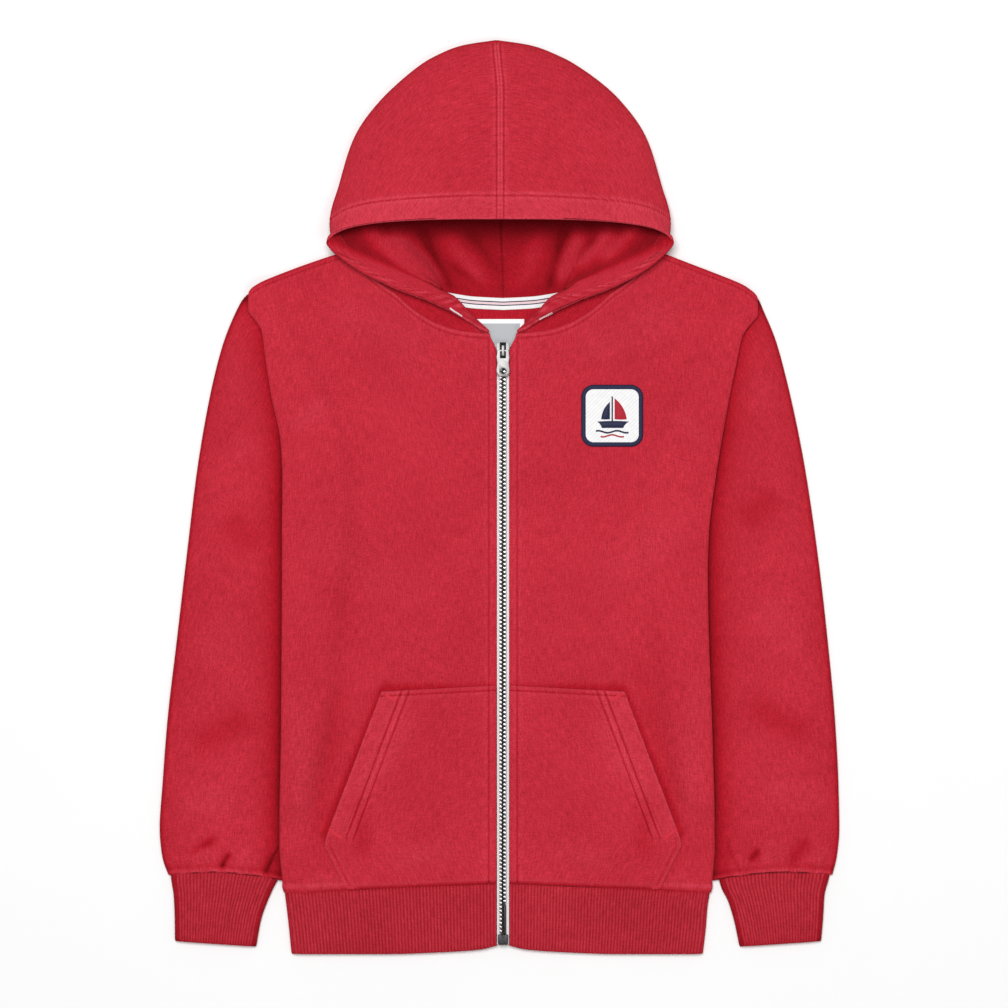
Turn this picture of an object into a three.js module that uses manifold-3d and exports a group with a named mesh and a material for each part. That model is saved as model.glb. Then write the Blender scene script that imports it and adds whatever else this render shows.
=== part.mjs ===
// A child's zip-front hooded sweatshirt, laid out flat on its back with the hood open.
// Millimetres, +Z up. While it is being built, x = 0 is the zip, y runs from the hem up to the hood, and
// z = 0 is the surface that it lies on. "right" and "left" are the wearer's, so right is at negative x.
import * as THREE from "three";
import Module from "manifold-3d";
import { mergeVertices } from "three/addons/utils/BufferGeometryUtils.js";

const wasm = await Module();
wasm.setup();

// Thicknesses and layers
const CLOTH = 2.2; // brushed sweatshirt fleece
const RIB = 2.6; // doubled rib knit at the hem and cuffs, under its ribs
const RIB_RISE = 0.5; // how far a rib stands out
const RIB_PITCH = 2.95; // hem ribs, middle to middle
const CUFF_RIBS = 26; // ribs across the upper face of a cuff
const TAPE = 1.0; // woven tapes and the neck label
const SEAM = 0.3; // gap between neighbouring pieces
const AIR = 2.2; // space between the front and the back where they lie on each other
const ZIP_RISE = 1.4; // how much the zip holds the fronts up
const ZIP_RISE_FROM = 21; // and between which distances from the zip the fronts come down
const ZIP_RISE_TO = 52;
const WAVES = { height: 0.45, across: 31, slant: 74, down: 47, shift: 0.6 }; // of the fronts' surface
const FOLD = 3.2; // width of the rounding at a side or shoulder fold
const SLEEVE_FLAT = 5.6; // height of a sleeve where the body lies on it
const SLEEVE_PUFF = 2.6; // extra height of a sleeve beside the body
const LIFT = 6.6; // how much a tucked sleeve lifts the body
const LIFT_CLEAR = 12; // the body stays lifted this far past the sleeve
const LIFT_SLOPE = 22; // and comes down over this width
const LIFT_LOW_Y = 108; // the lift starts at this height above the hem
const LIFT_HIGH_Y = 142; // and is full here

// Places along the body
const SHOULDER_TIP_Y = 569;
const SHOULDER_TIP_X = 219;
const NECK_POINT_X = 127; // where the shoulder seam meets the neckline
const HEM_SEAM_SIDE_Y = 57;
const HEM_SEAM_SIDE_X = 170; // the hem seam has come down to the side's height here
const HEM_SEAM_ZIP_Y = 65;
const ARMPIT_Y = 415;
const CAP = 8; // how far a sleeve cap curves in under the body
const ZIP_EDGE = 5.2; // from the zip's middle to a front's edge

// The visible side edge of the body, from the shoulder tip down to the rib
const SIDE_EDGE = [
  { y: 569, right: 219, left: 219 },
  { y: 551, right: 207.5, left: 206 },
  { y: 525, right: 204, left: 200.4 },
  { y: 493, right: 199, left: 194 },
  { y: 452, right: 191, left: 187 },
  { y: 419, right: 189.6, left: 182 },
  { y: 375, right: 190, left: 177 },
  { y: 341, right: 190, left: 176 },
  { y: 187, right: 191, left: 180.3 },
  { y: 100, right: 192.5, left: 182.3 },
  { y: 57, right: 189, left: 179.5 },
];

// Upper edge of the fronts and of the back, by distance from the zip line
const NECKLINE = [
  { x: 0, front: 535.6, back: 564.2 },
  { x: 25, front: 537.4, back: 565.5 },
  { x: 40, front: 539.4, back: 567.6 },
  { x: 55, front: 544, back: 570.4 },
  { x: 70, front: 552, back: 574 },
  { x: 82, front: 561, back: 578.2 },
  { x: 93, front: 571, back: 583.2 },
  { x: 108, front: 581.6, back: 592 },
  { x: 119, front: 593, back: 601 },
  { x: 127, front: 609, back: 609 },
];
const SHOULDER = [
  { x: 127, right: 609, left: 609 },
  { x: 158, right: 599, left: 596.8 },
  { x: 182, right: 590.4, left: 587.6 },
  { x: 203, right: 581.8, left: 578.8 },
  { x: 215, right: 574.6, left: 570.4 },
  { x: 219, right: 569, left: 565 },
];

// Sleeve sections from the armhole to the cuff seam. tucked is how far the inner edge lies under the body.
const SLEEVE = [
  { outerY: 567, right: 221.5, left: 217.5, innerY: 415, tucked: 36 },
  { outerY: 556.5, right: 228.5, left: 223.4, innerY: 408, tucked: 36 },
  { outerY: 531, right: 239.2, left: 234, innerY: 392, tucked: 35 },
  { outerY: 496, right: 248.8, left: 243.7, innerY: 366, tucked: 34 },
  { outerY: 427, right: 261.6, left: 258.3, innerY: 320, tucked: 30 },
  { outerY: 340, right: 272.4, left: 271.2, innerY: 265, tucked: 24 },
  { outerY: 270, right: 280.6, left: 279.2, innerY: 218, tucked: 18.5 },
  { outerY: 205, right: 288.2, left: 285.2, innerY: 172, tucked: 11 },
  { outerY: 150, right: 292.5, left: 288.2, innerY: 136, tucked: -0.8 },
  { outerY: 112, right: 295, left: 289, innerY: 104, tucked: -0.8 },
  { outerY: 88, right: 293, left: 287, innerY: 83, tucked: -0.8 },
  { outerY: 72.5, right: 287.5, left: 283, innerY: 67.5, tucked: -0.8 },
];
const SLEEVE_WIDTH = 120; // about half way down
const CUFF_SEAM_BOW = 4.5; // the cuff seam curves up in the middle

// Cuff sections from the seam to the end
const CUFF = [
  { outerY: 71.8, right: 287, left: 282.6, innerY: 66.8, innerRight: 191.8, innerLeft: 184.5 },
  { outerY: 64, right: 284.8, left: 279, innerY: 60, innerRight: 197, innerLeft: 187.5 },
  { outerY: 54, right: 283.2, left: 276.5, innerY: 50, innerRight: 201.5, innerLeft: 192.6 },
  { outerY: 35, right: 282.3, left: 275.3, innerY: 33, innerRight: 207.5, innerLeft: 198 },
  { outerY: 14, right: 282, left: 273.5, innerY: 9.5, innerRight: 211.8, innerLeft: 203 },
];
const CUFF_HEIGHT = 6.4;
const CUFF_SIDES = [0, 0.012, 0.03]; // shares of its width where a cuff's side rounds over
const CUFF_RIBS_FROM = 0.04;

// Rib band at the hem: half width down its height, and its lower edge by distance from the zip
const HEM_SIDE = [
  { down: 0, right: 188.6, left: 179 },
  { down: 0.25, right: 186.8, left: 176.6 },
  { down: 0.6, right: 184.6, left: 175 },
  { down: 1, right: 182.4, left: 172.4 },
];
const HEM_EDGE = [
  { x: 5, y: 11 },
  { x: 20, y: 7.4 },
  { x: 60, y: 4.4 },
  { x: 100, y: 3.2 },
  { x: 190, y: 3.2 },
];

// Hood sections, from the back seam round to the front of the neck, on the wearer's right.
// rim is the edge of the face opening, out is the outer fold where the upper layer turns under, in is the
// inner fold where the side turns back towards its neck seam, each with its x, y and z, and its radius.
// back and front say where the section meets the neckline, by distance from the zip line.
const HOOD = [
  { rim: [0, 631, 42], out: [0, 787, 5.5, 4.4], in: [0, 565, 1.1, 0], back: 0 },
  { rim: [15, 631, 41.9], out: [29, 782.5, 5.5, 4.4], in: [9, 565.2, 1.1, 0], back: 9 },
  { rim: [30, 631, 41.5], out: [57, 771.5, 5.5, 4.4], in: [17, 566, 1.1, 0], back: 17 },
  { rim: [60, 630.6, 40], out: [101, 737, 5.5, 4.4], in: [32, 567, 1.1, 0], back: 32 },
  { rim: [88, 629.6, 36], out: [125, 702.6, 6, 4.9], in: [46, 569.2, 1.1, 0], back: 46 },
  { rim: [112, 627.6, 31.5], out: [137, 664, 8, 5.4], in: [53, 574, 5, 2], back: 74 },
  { rim: [133, 623.6, 26.5], out: [144.6, 634, 13, 5], in: [59, 578, 8, 2.6], back: 103 },
  { rim: [148.5, 613, 20.5], out: null, in: [62, 579, 9, 2.8], back: 127 },
  { rim: [131, 595, 18.5], out: null, in: [60.5, 577, 9, 2.8], front: 116 },
  { rim: [98, 576.6, 17.5], out: null, in: [55, 573, 8.6, 2.8], front: 93 },
  { rim: [62, 562.5, 16], out: null, in: [43, 567.5, 8.4, 2.6], front: 68 },
  { rim: [38, 551.5, 14.5], out: null, in: [28, 552, 8.6, 2.4], front: 40 },
  { rim: [18, 540.5, 12.5], out: null, in: [13, 539, 9.2, 1.9], front: 9.5 },
];
const HOOD_CORNER = HOOD[7]; // where the rim meets the outer fold
const NECK_GAP = 0.75; // between the hood's edge and the facets of the neckline
const NECK_CORNER = 22; // the shoulder fold's rounding takes more room this far round the neck point
const NECK_CORNER_ROOM = 2;
const HOOD_LEAN = -2.4; // the hood lies a little to the wearer's right, and its crown a little more
const CROWN_LEAN = -3.2;
const HOOD_DOME = 5; // how far the upper layer bulges between rim and fold
const HOOD_DOME_REACH = 120; // less so where they are closer than this
const LAPEL_SHARES = [0.16, 0.32, 0.46, 0.6, 0.8]; // of the way from a lapel's rim to its inner fold
const CORNER_SHARES = [0.02, 0.045, 0.08, 0.3, 0.62]; // the same at the corner, crowded at the rim
const HOOD_CREASES = [
  { x1: 122, y1: 630, x2: 62, y2: 586, rise: 5, width: 9 },
  { x1: 92, y1: 640, x2: 48, y2: 584, rise: 3.4, width: 10 },
  { x1: 64, y1: 636, x2: 30, y2: 590, rise: 2, width: 9 },
];

// Pockets, in distances from the zip line
const POCKET = {
  topY: 232.5, bottomY: 67.5, zipSide: 6.2, topOut: 104, cornerOut: 154, cornerY: 107, bottomOut: 134,
  puff: 1.6,
};
const NECK_TAPE = { reach: 58, above: 2.4, width: 10.4 };
const LABEL = { x: -2.6, top: 548.5, width: 46, height: 30 };
const NEAR = 2.5; // what lies on a front clears the front's highest point this close by
const PATCH = { x: 93.7, y: 465.3, size: 52, corner: 10, thick: 1.3 };

// Zip
const ZIP_TAPE_OUT = 13;
const ZIP_TOP_Y = 531;
const ZIP_BOTTOM_Y = 11.5;
const CHAIN = { half: 2.6, height: 2.6, underside: 5.6 };
const PIN = { top: 46, inner: 0.4 };
const ZIP_BOX = { half: 4.4, length: 8.6, height: 3.3, cut: 1.6 };
const SLIDER = { y: 521, half: 4.7, plateHalf: 6.2, back: 7.2, front: 6.6, plateZ: 8.5, plate: 1.7 };
const BRIDGE = { half: 1.15, inside: 3.2, post: 1.2, rise: 3.4, beam: 1.1 };
const PULL = {
  bar: 0.7, play: 0.45, half: 5.6, waist: 4.9, length: 22.2,
  window: 5.8, windowHalf: 1.75, eye: 2.3, eyeAt: 17.6,
};

// Value at a station of a smooth curve through a table's column, which never overshoots its points.
function through(stations, values, at) {
  const last = stations.length - 1;
  const rising = stations[last] > stations[0] ? 1 : -1;
  let k = 0;
  while (k < last - 1 && (at - stations[k + 1]) * rising > 0) k++;
  const secant = (i) => (values[i + 1] - values[i]) / (stations[i + 1] - stations[i]);
  const slope = (i) => {
    if (i === 0) return secant(0);
    if (i === last) return secant(last - 1);
    const before = secant(i - 1);
    const after = secant(i);
    return before * after <= 0 ? 0 : (2 * before * after) / (before + after);
  };
  const gap = stations[k + 1] - stations[k];
  const t = Math.min(1, Math.max(0, (at - stations[k]) / gap));
  const a = slope(k) * gap;
  const b = slope(k + 1) * gap;
  const [p, q] = [values[k], values[k + 1]];
  return p + t * (a + t * (3 * (q - p) - 2 * a - b + t * (2 * (p - q) + a + b)));
}

const column = (table, name) => table.map((row) => row[name]);
const read = (table, key, at, name) => through(column(table, key), column(table, name), at);
const mix = (a, b, t) => a + (b - a) * t;
const sideName = (side) => (side < 0 ? "right" : "left");

function smoothStep(low, high, at) {
  const t = Math.min(1, Math.max(0, (at - low) / (high - low)));
  return t * t * (3 - 2 * t);
}

// Stations from 0 to 1 that crowd together at a fold, then run evenly.
function foldStations(fold, length, even, bothEnds = false) {
  const near = [0, 0.13, 0.45, 1].map((share) => (share * fold) / length);
  const end = bothEnds ? 1 - fold / length : 1;
  const rest = Array.from({ length: even }, (_, k) => mix(fold / length, end, (k + 1) / even));
  if (!bothEnds) return [...near, ...rest];
  return [...near, ...rest, ...near.slice(0, 3).reverse().map((share) => 1 - share)];
}

const evenStations = (count) => Array.from({ length: count + 1 }, (_, k) => k / count);
const quarterTurn = (share) => Math.sqrt(1 - (1 - Math.min(1, Math.max(0, share))) ** 2);

// A closed body from its points and triangles, with its faces turned outwards.
function closedGeometry(points, triangles) {
  let volume = 0;
  for (const [a, b, c] of triangles) {
    volume += points[a].dot(new THREE.Vector3().crossVectors(points[b], points[c]));
  }
  const facing = volume < 0 ? triangles.map(([a, b, c]) => [a, c, b]) : triangles;
  const geometry = new THREE.BufferGeometry();
  geometry.setAttribute("position", new THREE.Float32BufferAttribute(points.flatMap((p) => p.toArray()), 3));
  geometry.setIndex(facing.flat());
  geometry.computeVertexNormals();
  return geometry;
}

// A cloth wall round a grid of points on its middle surface: ring closes the rows on themselves,
// rise lifts a point of the outer face, steady may correct the normal of one point, and the squares from
// the column mirrorFrom on are split along their other diagonal.
function clothWall(grid, options = {}) {
  const { thick = CLOTH, ring = false, rise = null, steady = null, mirrorFrom = Infinity } = options;
  const rows = grid.length;
  const columns = grid[0].length;
  const at = (i, j) => {
    const row = grid[Math.min(rows - 1, Math.max(0, i))];
    return ring ? row[(j + columns) % columns] : row[Math.min(columns - 1, Math.max(0, j))];
  };
  const outer = [];
  const inner = [];
  for (let i = 0; i < rows; i++) {
    for (let j = 0; j < columns; j++) {
      const along = at(i + 1, j).clone().sub(at(i - 1, j));
      const across = at(i, j + 1).clone().sub(at(i, j - 1));
      const normal = across.cross(along);
      if (steady) steady(normal, i, j);
      normal.normalize();
      const extra = rise ? rise(i, j) : 0;
      outer.push(grid[i][j].clone().addScaledVector(normal, thick / 2 + extra));
      inner.push(grid[i][j].clone().addScaledVector(normal, -thick / 2));
    }
  }
  const points = [...outer, ...inner];
  const under = rows * columns;
  const id = (i, j) => i * columns + (j % columns);
  const triangles = [];
  const quad = (a, b, c, d) => triangles.push([a, b, c], [a, c, d]);
  const across = ring ? columns : columns - 1;
  for (let i = 0; i < rows - 1; i++) {
    for (let j = 0; j < across; j++) {
      const [a, b, c, d] = [id(i, j), id(i, j + 1), id(i + 1, j + 1), id(i + 1, j)];
      if (j < mirrorFrom) {
        quad(a, b, c, d);
        quad(under + a, under + d, under + c, under + b);
      } else {
        quad(b, c, d, a);
        quad(under + b, under + a, under + d, under + c);
      }
    }
  }
  for (let j = 0; j < across; j++) {
    const [a, b] = [id(0, j), id(0, j + 1)];
    quad(b, a, under + a, under + b);
    const [c, d] = [id(rows - 1, j), id(rows - 1, j + 1)];
    quad(c, d, under + d, under + c);
  }
  for (let i = 0; i < rows - 1 && !ring; i++) {
    const [a, b] = [id(i, 0), id(i + 1, 0)];
    quad(a, b, under + b, under + a);
    const [c, d] = [id(i, columns - 1), id(i + 1, columns - 1)];
    quad(d, c, under + c, under + d);
  }
  return closedGeometry(points, triangles);
}

// Edges and heights of the body
const sideEdge = (y, side) => read(SIDE_EDGE, "y", y, sideName(side));
const tuckedUnder = (y) => through(column(SLEEVE, "innerY"), column(SLEEVE, "tucked"), y);
const hemSeamY = (x) => mix(HEM_SEAM_ZIP_Y, HEM_SEAM_SIDE_Y, Math.min(1, Math.abs(x) / HEM_SEAM_SIDE_X));

function topEdge(x, layer) {
  const out = Math.abs(x);
  if (out > NECK_POINT_X) return read(SHOULDER, "x", out, sideName(x));
  return read(NECKLINE, "x", out, layer);
}

function sleeveStart(y, side) {
  if (y < ARMPIT_Y) return sideEdge(y, side) - tuckedUnder(y);
  const armpit = sideEdge(ARMPIT_Y, side) - tuckedUnder(ARMPIT_Y);
  const share = (y - ARMPIT_Y) / (SHOULDER_TIP_Y - ARMPIT_Y);
  return mix(armpit, SHOULDER_TIP_X, share) - CAP * Math.sin(Math.PI * Math.min(1, share));
}

// How far a tucked sleeve lifts the body at a place
function lift(x, y) {
  const side = x < 0 ? -1 : 1;
  const inside = sleeveStart(y, side) - Math.abs(x);
  const overHem = smoothStep(LIFT_LOW_Y, LIFT_HIGH_Y, y);
  return LIFT * overHem * (1 - smoothStep(LIFT_CLEAR, LIFT_CLEAR + LIFT_SLOPE, inside));
}

// Soft waves that a laid-out front keeps
const waves = (x, y) => {
  const { height, across, slant, down, shift } = WAVES;
  return height * Math.sin(x / across + y / slant) * Math.sin(y / down - shift);
};
const backHeight = (x, y) => CLOTH / 2 + lift(x, y);
const zipRise = (x) => 1 - smoothStep(ZIP_RISE_FROM, ZIP_RISE_TO, Math.abs(x));
const frontHeight = (x, y) => {
  const near = zipRise(x);
  return backHeight(x, y) + CLOTH + AIR + ZIP_RISE * near + waves(x, y) * (1 - near);
};

// How far a place on a panel is from the side and shoulder folds
function fromFold(x, y, edgeDistance, topDistance) {
  const out = Math.abs(x);
  const neckPointY = SHOULDER[0].right;
  const toShoulder = out > NECK_POINT_X ? topDistance : Math.hypot(out - NECK_POINT_X, y - neckPointY);
  return Math.min(edgeDistance, toShoulder);
}

// Middle surface of a body panel: layer is "front" or "back"
function panelPoint(x, y, layer, edgeDistance, topDistance) {
  const turn = quarterTurn(fromFold(x, y, edgeDistance, topDistance) / FOLD);
  const [low, high] = [backHeight(x, y), frontHeight(x, y)];
  const middle = (low + high) / 2;
  const half = SEAM / 2;
  const z = layer === "front" ? mix(middle + half, high, turn) : mix(middle - half, low, turn);
  return new THREE.Vector3(x, y, z);
}

const panelEdge = (y, side) => sideEdge(y, side) - CLOTH / 2;

// Stations across and down a front. The back uses the same ones on each side of the zip line.
const panelSpan = panelEdge(SHOULDER_TIP_Y, -1) - ZIP_EDGE;
const toNeckPoint = (panelEdge(SHOULDER_TIP_Y, -1) - NECK_POINT_X) / panelSpan;
const ACROSS = [
  ...foldStations(FOLD / toNeckPoint, panelSpan, 6).map((u) => u * toNeckPoint),
  ...evenStations(8).slice(1).map((u) => mix(toNeckPoint, 1, u)),
];
const DOWN = foldStations(FOLD, SHOULDER_TIP_Y - HEM_SEAM_SIDE_Y, 12);

function bodyPoint(side, across, down, layer) {
  const start = panelEdge(SHOULDER_TIP_Y, side);
  const edge = panelEdge(mix(SHOULDER_TIP_Y, HEM_SEAM_SIDE_Y, down), side);
  const top = topEdge(side * mix(start, ZIP_EDGE, across), layer);
  const x = mix(edge, ZIP_EDGE, across);
  const seam = layer === "front" ? hemSeamY(x) : HEM_SEAM_SIDE_Y;
  const y = mix(top, seam + SEAM / 2, down);
  return panelPoint(side * x, y, layer, across * (edge - ZIP_EDGE), top - y);
}

// At a fold's edge the wall's end stands level, so that the front and the back keep their seam gap
function levelAtFold(grid, twoSided) {
  return (normal, i, j) => {
    const p = grid[i][j];
    const atShoulder = i === 0 && Math.abs(p.x) > NECK_POINT_X - SEAM;
    const atSide = j === 0 || (twoSided && j === grid[0].length - 1);
    if (atShoulder || atSide) normal.z = 0;
  };
}

function frontPanel(side) {
  const grid = DOWN.map((v) => ACROSS.map((u) => bodyPoint(side, u, v, "front")));
  return clothWall(grid, { steady: levelAtFold(grid, false) });
}

function backPanel() {
  const half = (side) => DOWN.map((v) => ACROSS.map((u) => bodyPoint(side, u, v, "back")));
  const [right, left] = [half(-1), half(1)];
  const grid = right.map((row, i) => [...row, ...left[i].slice().reverse()]);
  return clothWall(grid, { steady: levelAtFold(grid, true), mirrorFrom: ACROSS.length });
}

// Columns round a flattened tube: upper face from the outer edge in, then the under face back out.
// Each column is how far across it lies, and whether it is on the upper (1) or the under (-1) face.
function tubeColumns(width, upperCount, underCount) {
  const upper = foldStations(FOLD, width, upperCount, true).map((w) => ({ w, face: 1 }));
  const under = foldStations(FOLD, width, underCount, true).map((w) => ({ w: 1 - w, face: -1 }));
  return [...upper, ...under.slice(1, -1)];
}

function tubePoint(outer, inner, { w, face }, height, thick) {
  const width = outer.distanceTo(inner);
  const turn = quarterTurn((Math.min(w, 1 - w) * width) / FOLD);
  const point = outer.clone().lerp(inner, w);
  return point.setZ(height / 2 + face * (height / 2 - thick / 2) * turn);
}

function sleeve(side) {
  const stations = evenStations(13).map((t) => t * (SLEEVE.length - 1));
  const index = SLEEVE.map((_, k) => k);
  const at = (s, name) => through(index, column(SLEEVE, name), s);
  const columns = tubeColumns(SLEEVE_WIDTH, 8, 4);
  const grid = stations.map((s) => {
    const share = s / (SLEEVE.length - 1);
    const innerY = at(s, "innerY");
    const outer = new THREE.Vector3(side * (at(s, sideName(side)) - CLOTH / 2), at(s, "outerY"), 0);
    const inner = new THREE.Vector3(side * (sideEdge(innerY, side) - at(s, "tucked") + CLOTH / 2), innerY, 0);
    return columns.map((place) => {
      const flat = tubePoint(outer, inner, place, SLEEVE_FLAT, CLOTH);
      const beside = Math.abs(flat.x) - sideEdge(flat.y, side);
      const fromOuter = place.w * outer.distanceTo(inner);
      const puff = SLEEVE_PUFF * smoothStep(4, 30, beside) * smoothStep(0, 24, fromOuter);
      const point = tubePoint(outer, inner, place, SLEEVE_FLAT + puff, CLOTH);
      const bow = Math.sin(Math.PI * place.w);
      point.y += CUFF_SEAM_BOW * bow * smoothStep(0.8, 1, share);
      point.x -= side * CAP * bow * (1 - smoothStep(0, 0.25, share));
      return point;
    });
  });
  return clothWall(grid, { ring: true });
}

function cuff(side) {
  const index = CUFF.map((_, k) => k);
  const at = (s, name) => through(index, column(CUFF, name), s);
  const ribbed = (t) => mix(CUFF_RIBS_FROM, 1 - CUFF_RIBS_FROM, t);
  const upper = evenStations(2 * CUFF_RIBS).map(ribbed);
  const plain = [...CUFF_SIDES.slice(1), ...evenStations(3).map(ribbed)];
  const columns = [
    ...CUFF_SIDES.map((w) => ({ w, face: 1 })),
    ...upper.map((w) => ({ w, face: 1 })),
    ...CUFF_SIDES.slice().reverse().map((w) => ({ w: 1 - w, face: 1 })),
    ...plain.map((w) => ({ w: 1 - w, face: -1 })),
    ...CUFF_SIDES.slice(1).reverse().map((w) => ({ w, face: -1 })),
  ];
  const half = RIB / 2 + RIB_RISE;
  const grid = evenStations(3).map((t) => {
    const s = t * (CUFF.length - 1);
    const outer = new THREE.Vector3(side * (at(s, sideName(side)) - half), at(s, "outerY"), 0);
    const innerX = at(s, side < 0 ? "innerRight" : "innerLeft");
    const inner = new THREE.Vector3(side * (innerX + half), at(s, "innerY"), 0);
    return columns.map((place) => {
      const point = tubePoint(outer, inner, place, CUFF_HEIGHT, RIB);
      point.y += CUFF_SEAM_BOW * Math.sin(Math.PI * place.w) * (1 - smoothStep(0, 0.6, t));
      return point;
    });
  });
  const first = CUFF_SIDES.length;
  const rise = (i, j) => {
    const k = j - first;
    return k >= 0 && k <= 2 * CUFF_RIBS && k % 2 === 0 ? RIB_RISE : 0;
  };
  const outwards = (normal) => normal.multiplyScalar(side);
  return clothWall(grid, { thick: RIB, ring: true, rise, steady: outwards });
}

// The hem rib is one band from one edge of the zip, round the body, to the other
function hemBand() {
  const low = RIB / 2;
  const frontAt = (x) => CLOTH * 1.5 + AIR + ZIP_RISE * zipRise(x);
  const ribs = Math.round((SIDE_EDGE.at(-1).right - ZIP_EDGE) / RIB_PITCH);
  const front = evenStations(2 * ribs).map((a) => ({ a, face: "front" }));
  const turn = [0.25, 0.5, 0.75].map((angle) => ({ angle, face: "turn" }));
  const back = evenStations(8).map((a) => ({ a: mix(-1, 1, a), face: "back" }));
  const path = [
    ...front.map((c) => ({ ...c, side: -1 })), ...turn.map((c) => ({ ...c, side: -1 })), ...back,
    ...turn.slice().reverse().map((c) => ({ ...c, side: 1 })),
    ...front.slice().reverse().map((c) => ({ ...c, side: 1 })),
  ];
  const grid = [0, 0.3, 1].map((down) => path.map((place) => {
    const reach = (side) => {
      const high = frontAt(100);
      return read(HEM_SIDE, "down", down, sideName(side)) - RIB / 2 - RIB_RISE - (high - low) / 2;
    };
    let [x, z] = [0, low];
    if (place.face === "front") {
      x = place.side * mix(ZIP_EDGE, reach(place.side), place.a);
      z = frontAt(x);
    } else if (place.face === "back") {
      x = place.a * reach(place.a < 0 ? -1 : 1);
    } else {
      const radius = (frontAt(100) - low) / 2;
      x = place.side * (reach(place.side) + radius * Math.sin(Math.PI * place.angle));
      z = low + radius + radius * Math.cos(Math.PI * place.angle);
    }
    const top = place.face === "back" ? HEM_SEAM_SIDE_Y : hemSeamY(x);
    const y = mix(top - SEAM / 2, read(HEM_EDGE, "x", Math.abs(x), "y"), down);
    return new THREE.Vector3(x, y, z);
  }));
  const isRib = (j) => {
    const place = path[j];
    return place.face === "front" && Math.round(place.a * 2 * ribs) % 2 === 1;
  };
  return clothWall(grid, { thick: RIB, rise: (i, j) => (isRib(j) ? RIB_RISE : 0) });
}

// Distance round the neckline: along the back out to the neck point, then along the front in to the zip
const around = (row) => ("back" in row ? row.back : 2 * NECK_POINT_X - row.front);

// A place on the neck seam, where the hood meets the upper edge of the back or of a front
function neckSeam(distance) {
  const onBack = distance <= NECK_POINT_X;
  const x = -(onBack ? distance : 2 * NECK_POINT_X - distance);
  const edge = ACROSS.map((u) => bodyPoint(-1, u, 0, onBack ? "back" : "front"));
  const line = [...edge, edge.at(-1).clone().setX(0)];
  const k = line.findLastIndex((p, i) => i < line.length - 1 && p.x <= x + SEAM);
  const [a, b] = [line[k], line[k + 1]];
  const point = a.clone().lerp(b, (x - a.x) / (b.x - a.x));
  const away = new THREE.Vector3(a.y - b.y, b.x - a.x, 0).normalize();
  const atCorner = Math.max(0, 1 - Math.abs(distance - NECK_POINT_X) / NECK_CORNER);
  return point.addScaledVector(away, NECK_GAP + NECK_CORNER_ROOM * atCorner);
}

function hoodCrease(x, y) {
  let z = 0;
  for (const crease of HOOD_CREASES) {
    const [dx, dy] = [crease.x2 - crease.x1, crease.y2 - crease.y1];
    const length = Math.hypot(dx, dy);
    const t = ((Math.abs(x) - crease.x1) * dx + (y - crease.y1) * dy) / length ** 2;
    const off = ((Math.abs(x) - crease.x1) * dy - (y - crease.y1) * dx) / length;
    const fade = smoothStep(-0.1, 0.3, t) * (1 - smoothStep(0.75, 1.1, t));
    z += crease.rise * fade * Math.exp(-((off / crease.width) ** 2));
  }
  return z;
}

// The points that one hood section runs through, from the rim to the neck seam
function hoodSection(row) {
  const at = ([x, y, z]) => new THREE.Vector3(-x, y, z);
  const rim = at(row.rim);
  const neck = neckSeam(around(row));
  const inner = at(row.in);
  const innerRadius = row.in[3];
  const outwards = rim.clone().setZ(0).sub(inner.clone().setZ(0)).normalize();
  const share = (a, b, t) => a.clone().lerp(b, t);
  const turned = inner.clone().addScaledVector(outwards, innerRadius);
  const innerHigh = turned.clone().setZ(turned.z + innerRadius);
  const innerLow = turned.clone().setZ(turned.z - innerRadius);
  let upper;
  if (row.out) {
    const out = at(row.out);
    const radius = row.out[3];
    const back = rim.clone().setZ(0).sub(out.clone().setZ(0)).normalize();
    const high = out.clone().addScaledVector(back, radius).setZ(out.z + radius);
    const low = out.clone().addScaledVector(back, radius).setZ(out.z - radius);
    const dome = HOOD_DOME * Math.min(1, rim.distanceTo(out) / HOOD_DOME_REACH);
    const middle = share(rim, high, 0.5).add(new THREE.Vector3(0, 0, dome));
    const under = share(low, innerRadius ? innerHigh : neck, 0.5);
    under.z = Math.min(under.z, low.z);
    upper = [rim, middle, high, out, low, under];
  } else {
    const shares = row === HOOD_CORNER ? CORNER_SHARES : LAPEL_SHARES;
    upper = [rim, ...shares.map((t) => share(rim, innerHigh, t))];
  }
  if (!innerRadius) {
    const from = upper.at(-1);
    return [...upper, share(from, neck, 0.45), share(from, neck, 0.7), share(from, neck, 0.85), neck];
  }
  return [...upper, innerHigh, inner, innerLow, neck];
}

// The lean fades out towards the neck seam, which stays where the body is
function hoodLean(y, place) {
  const lean = HOOD_LEAN * smoothStep(570, 612, y) + CROWN_LEAN * smoothStep(740, 788, y);
  return lean * (1 - smoothStep(5, 8, place));
}

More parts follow.
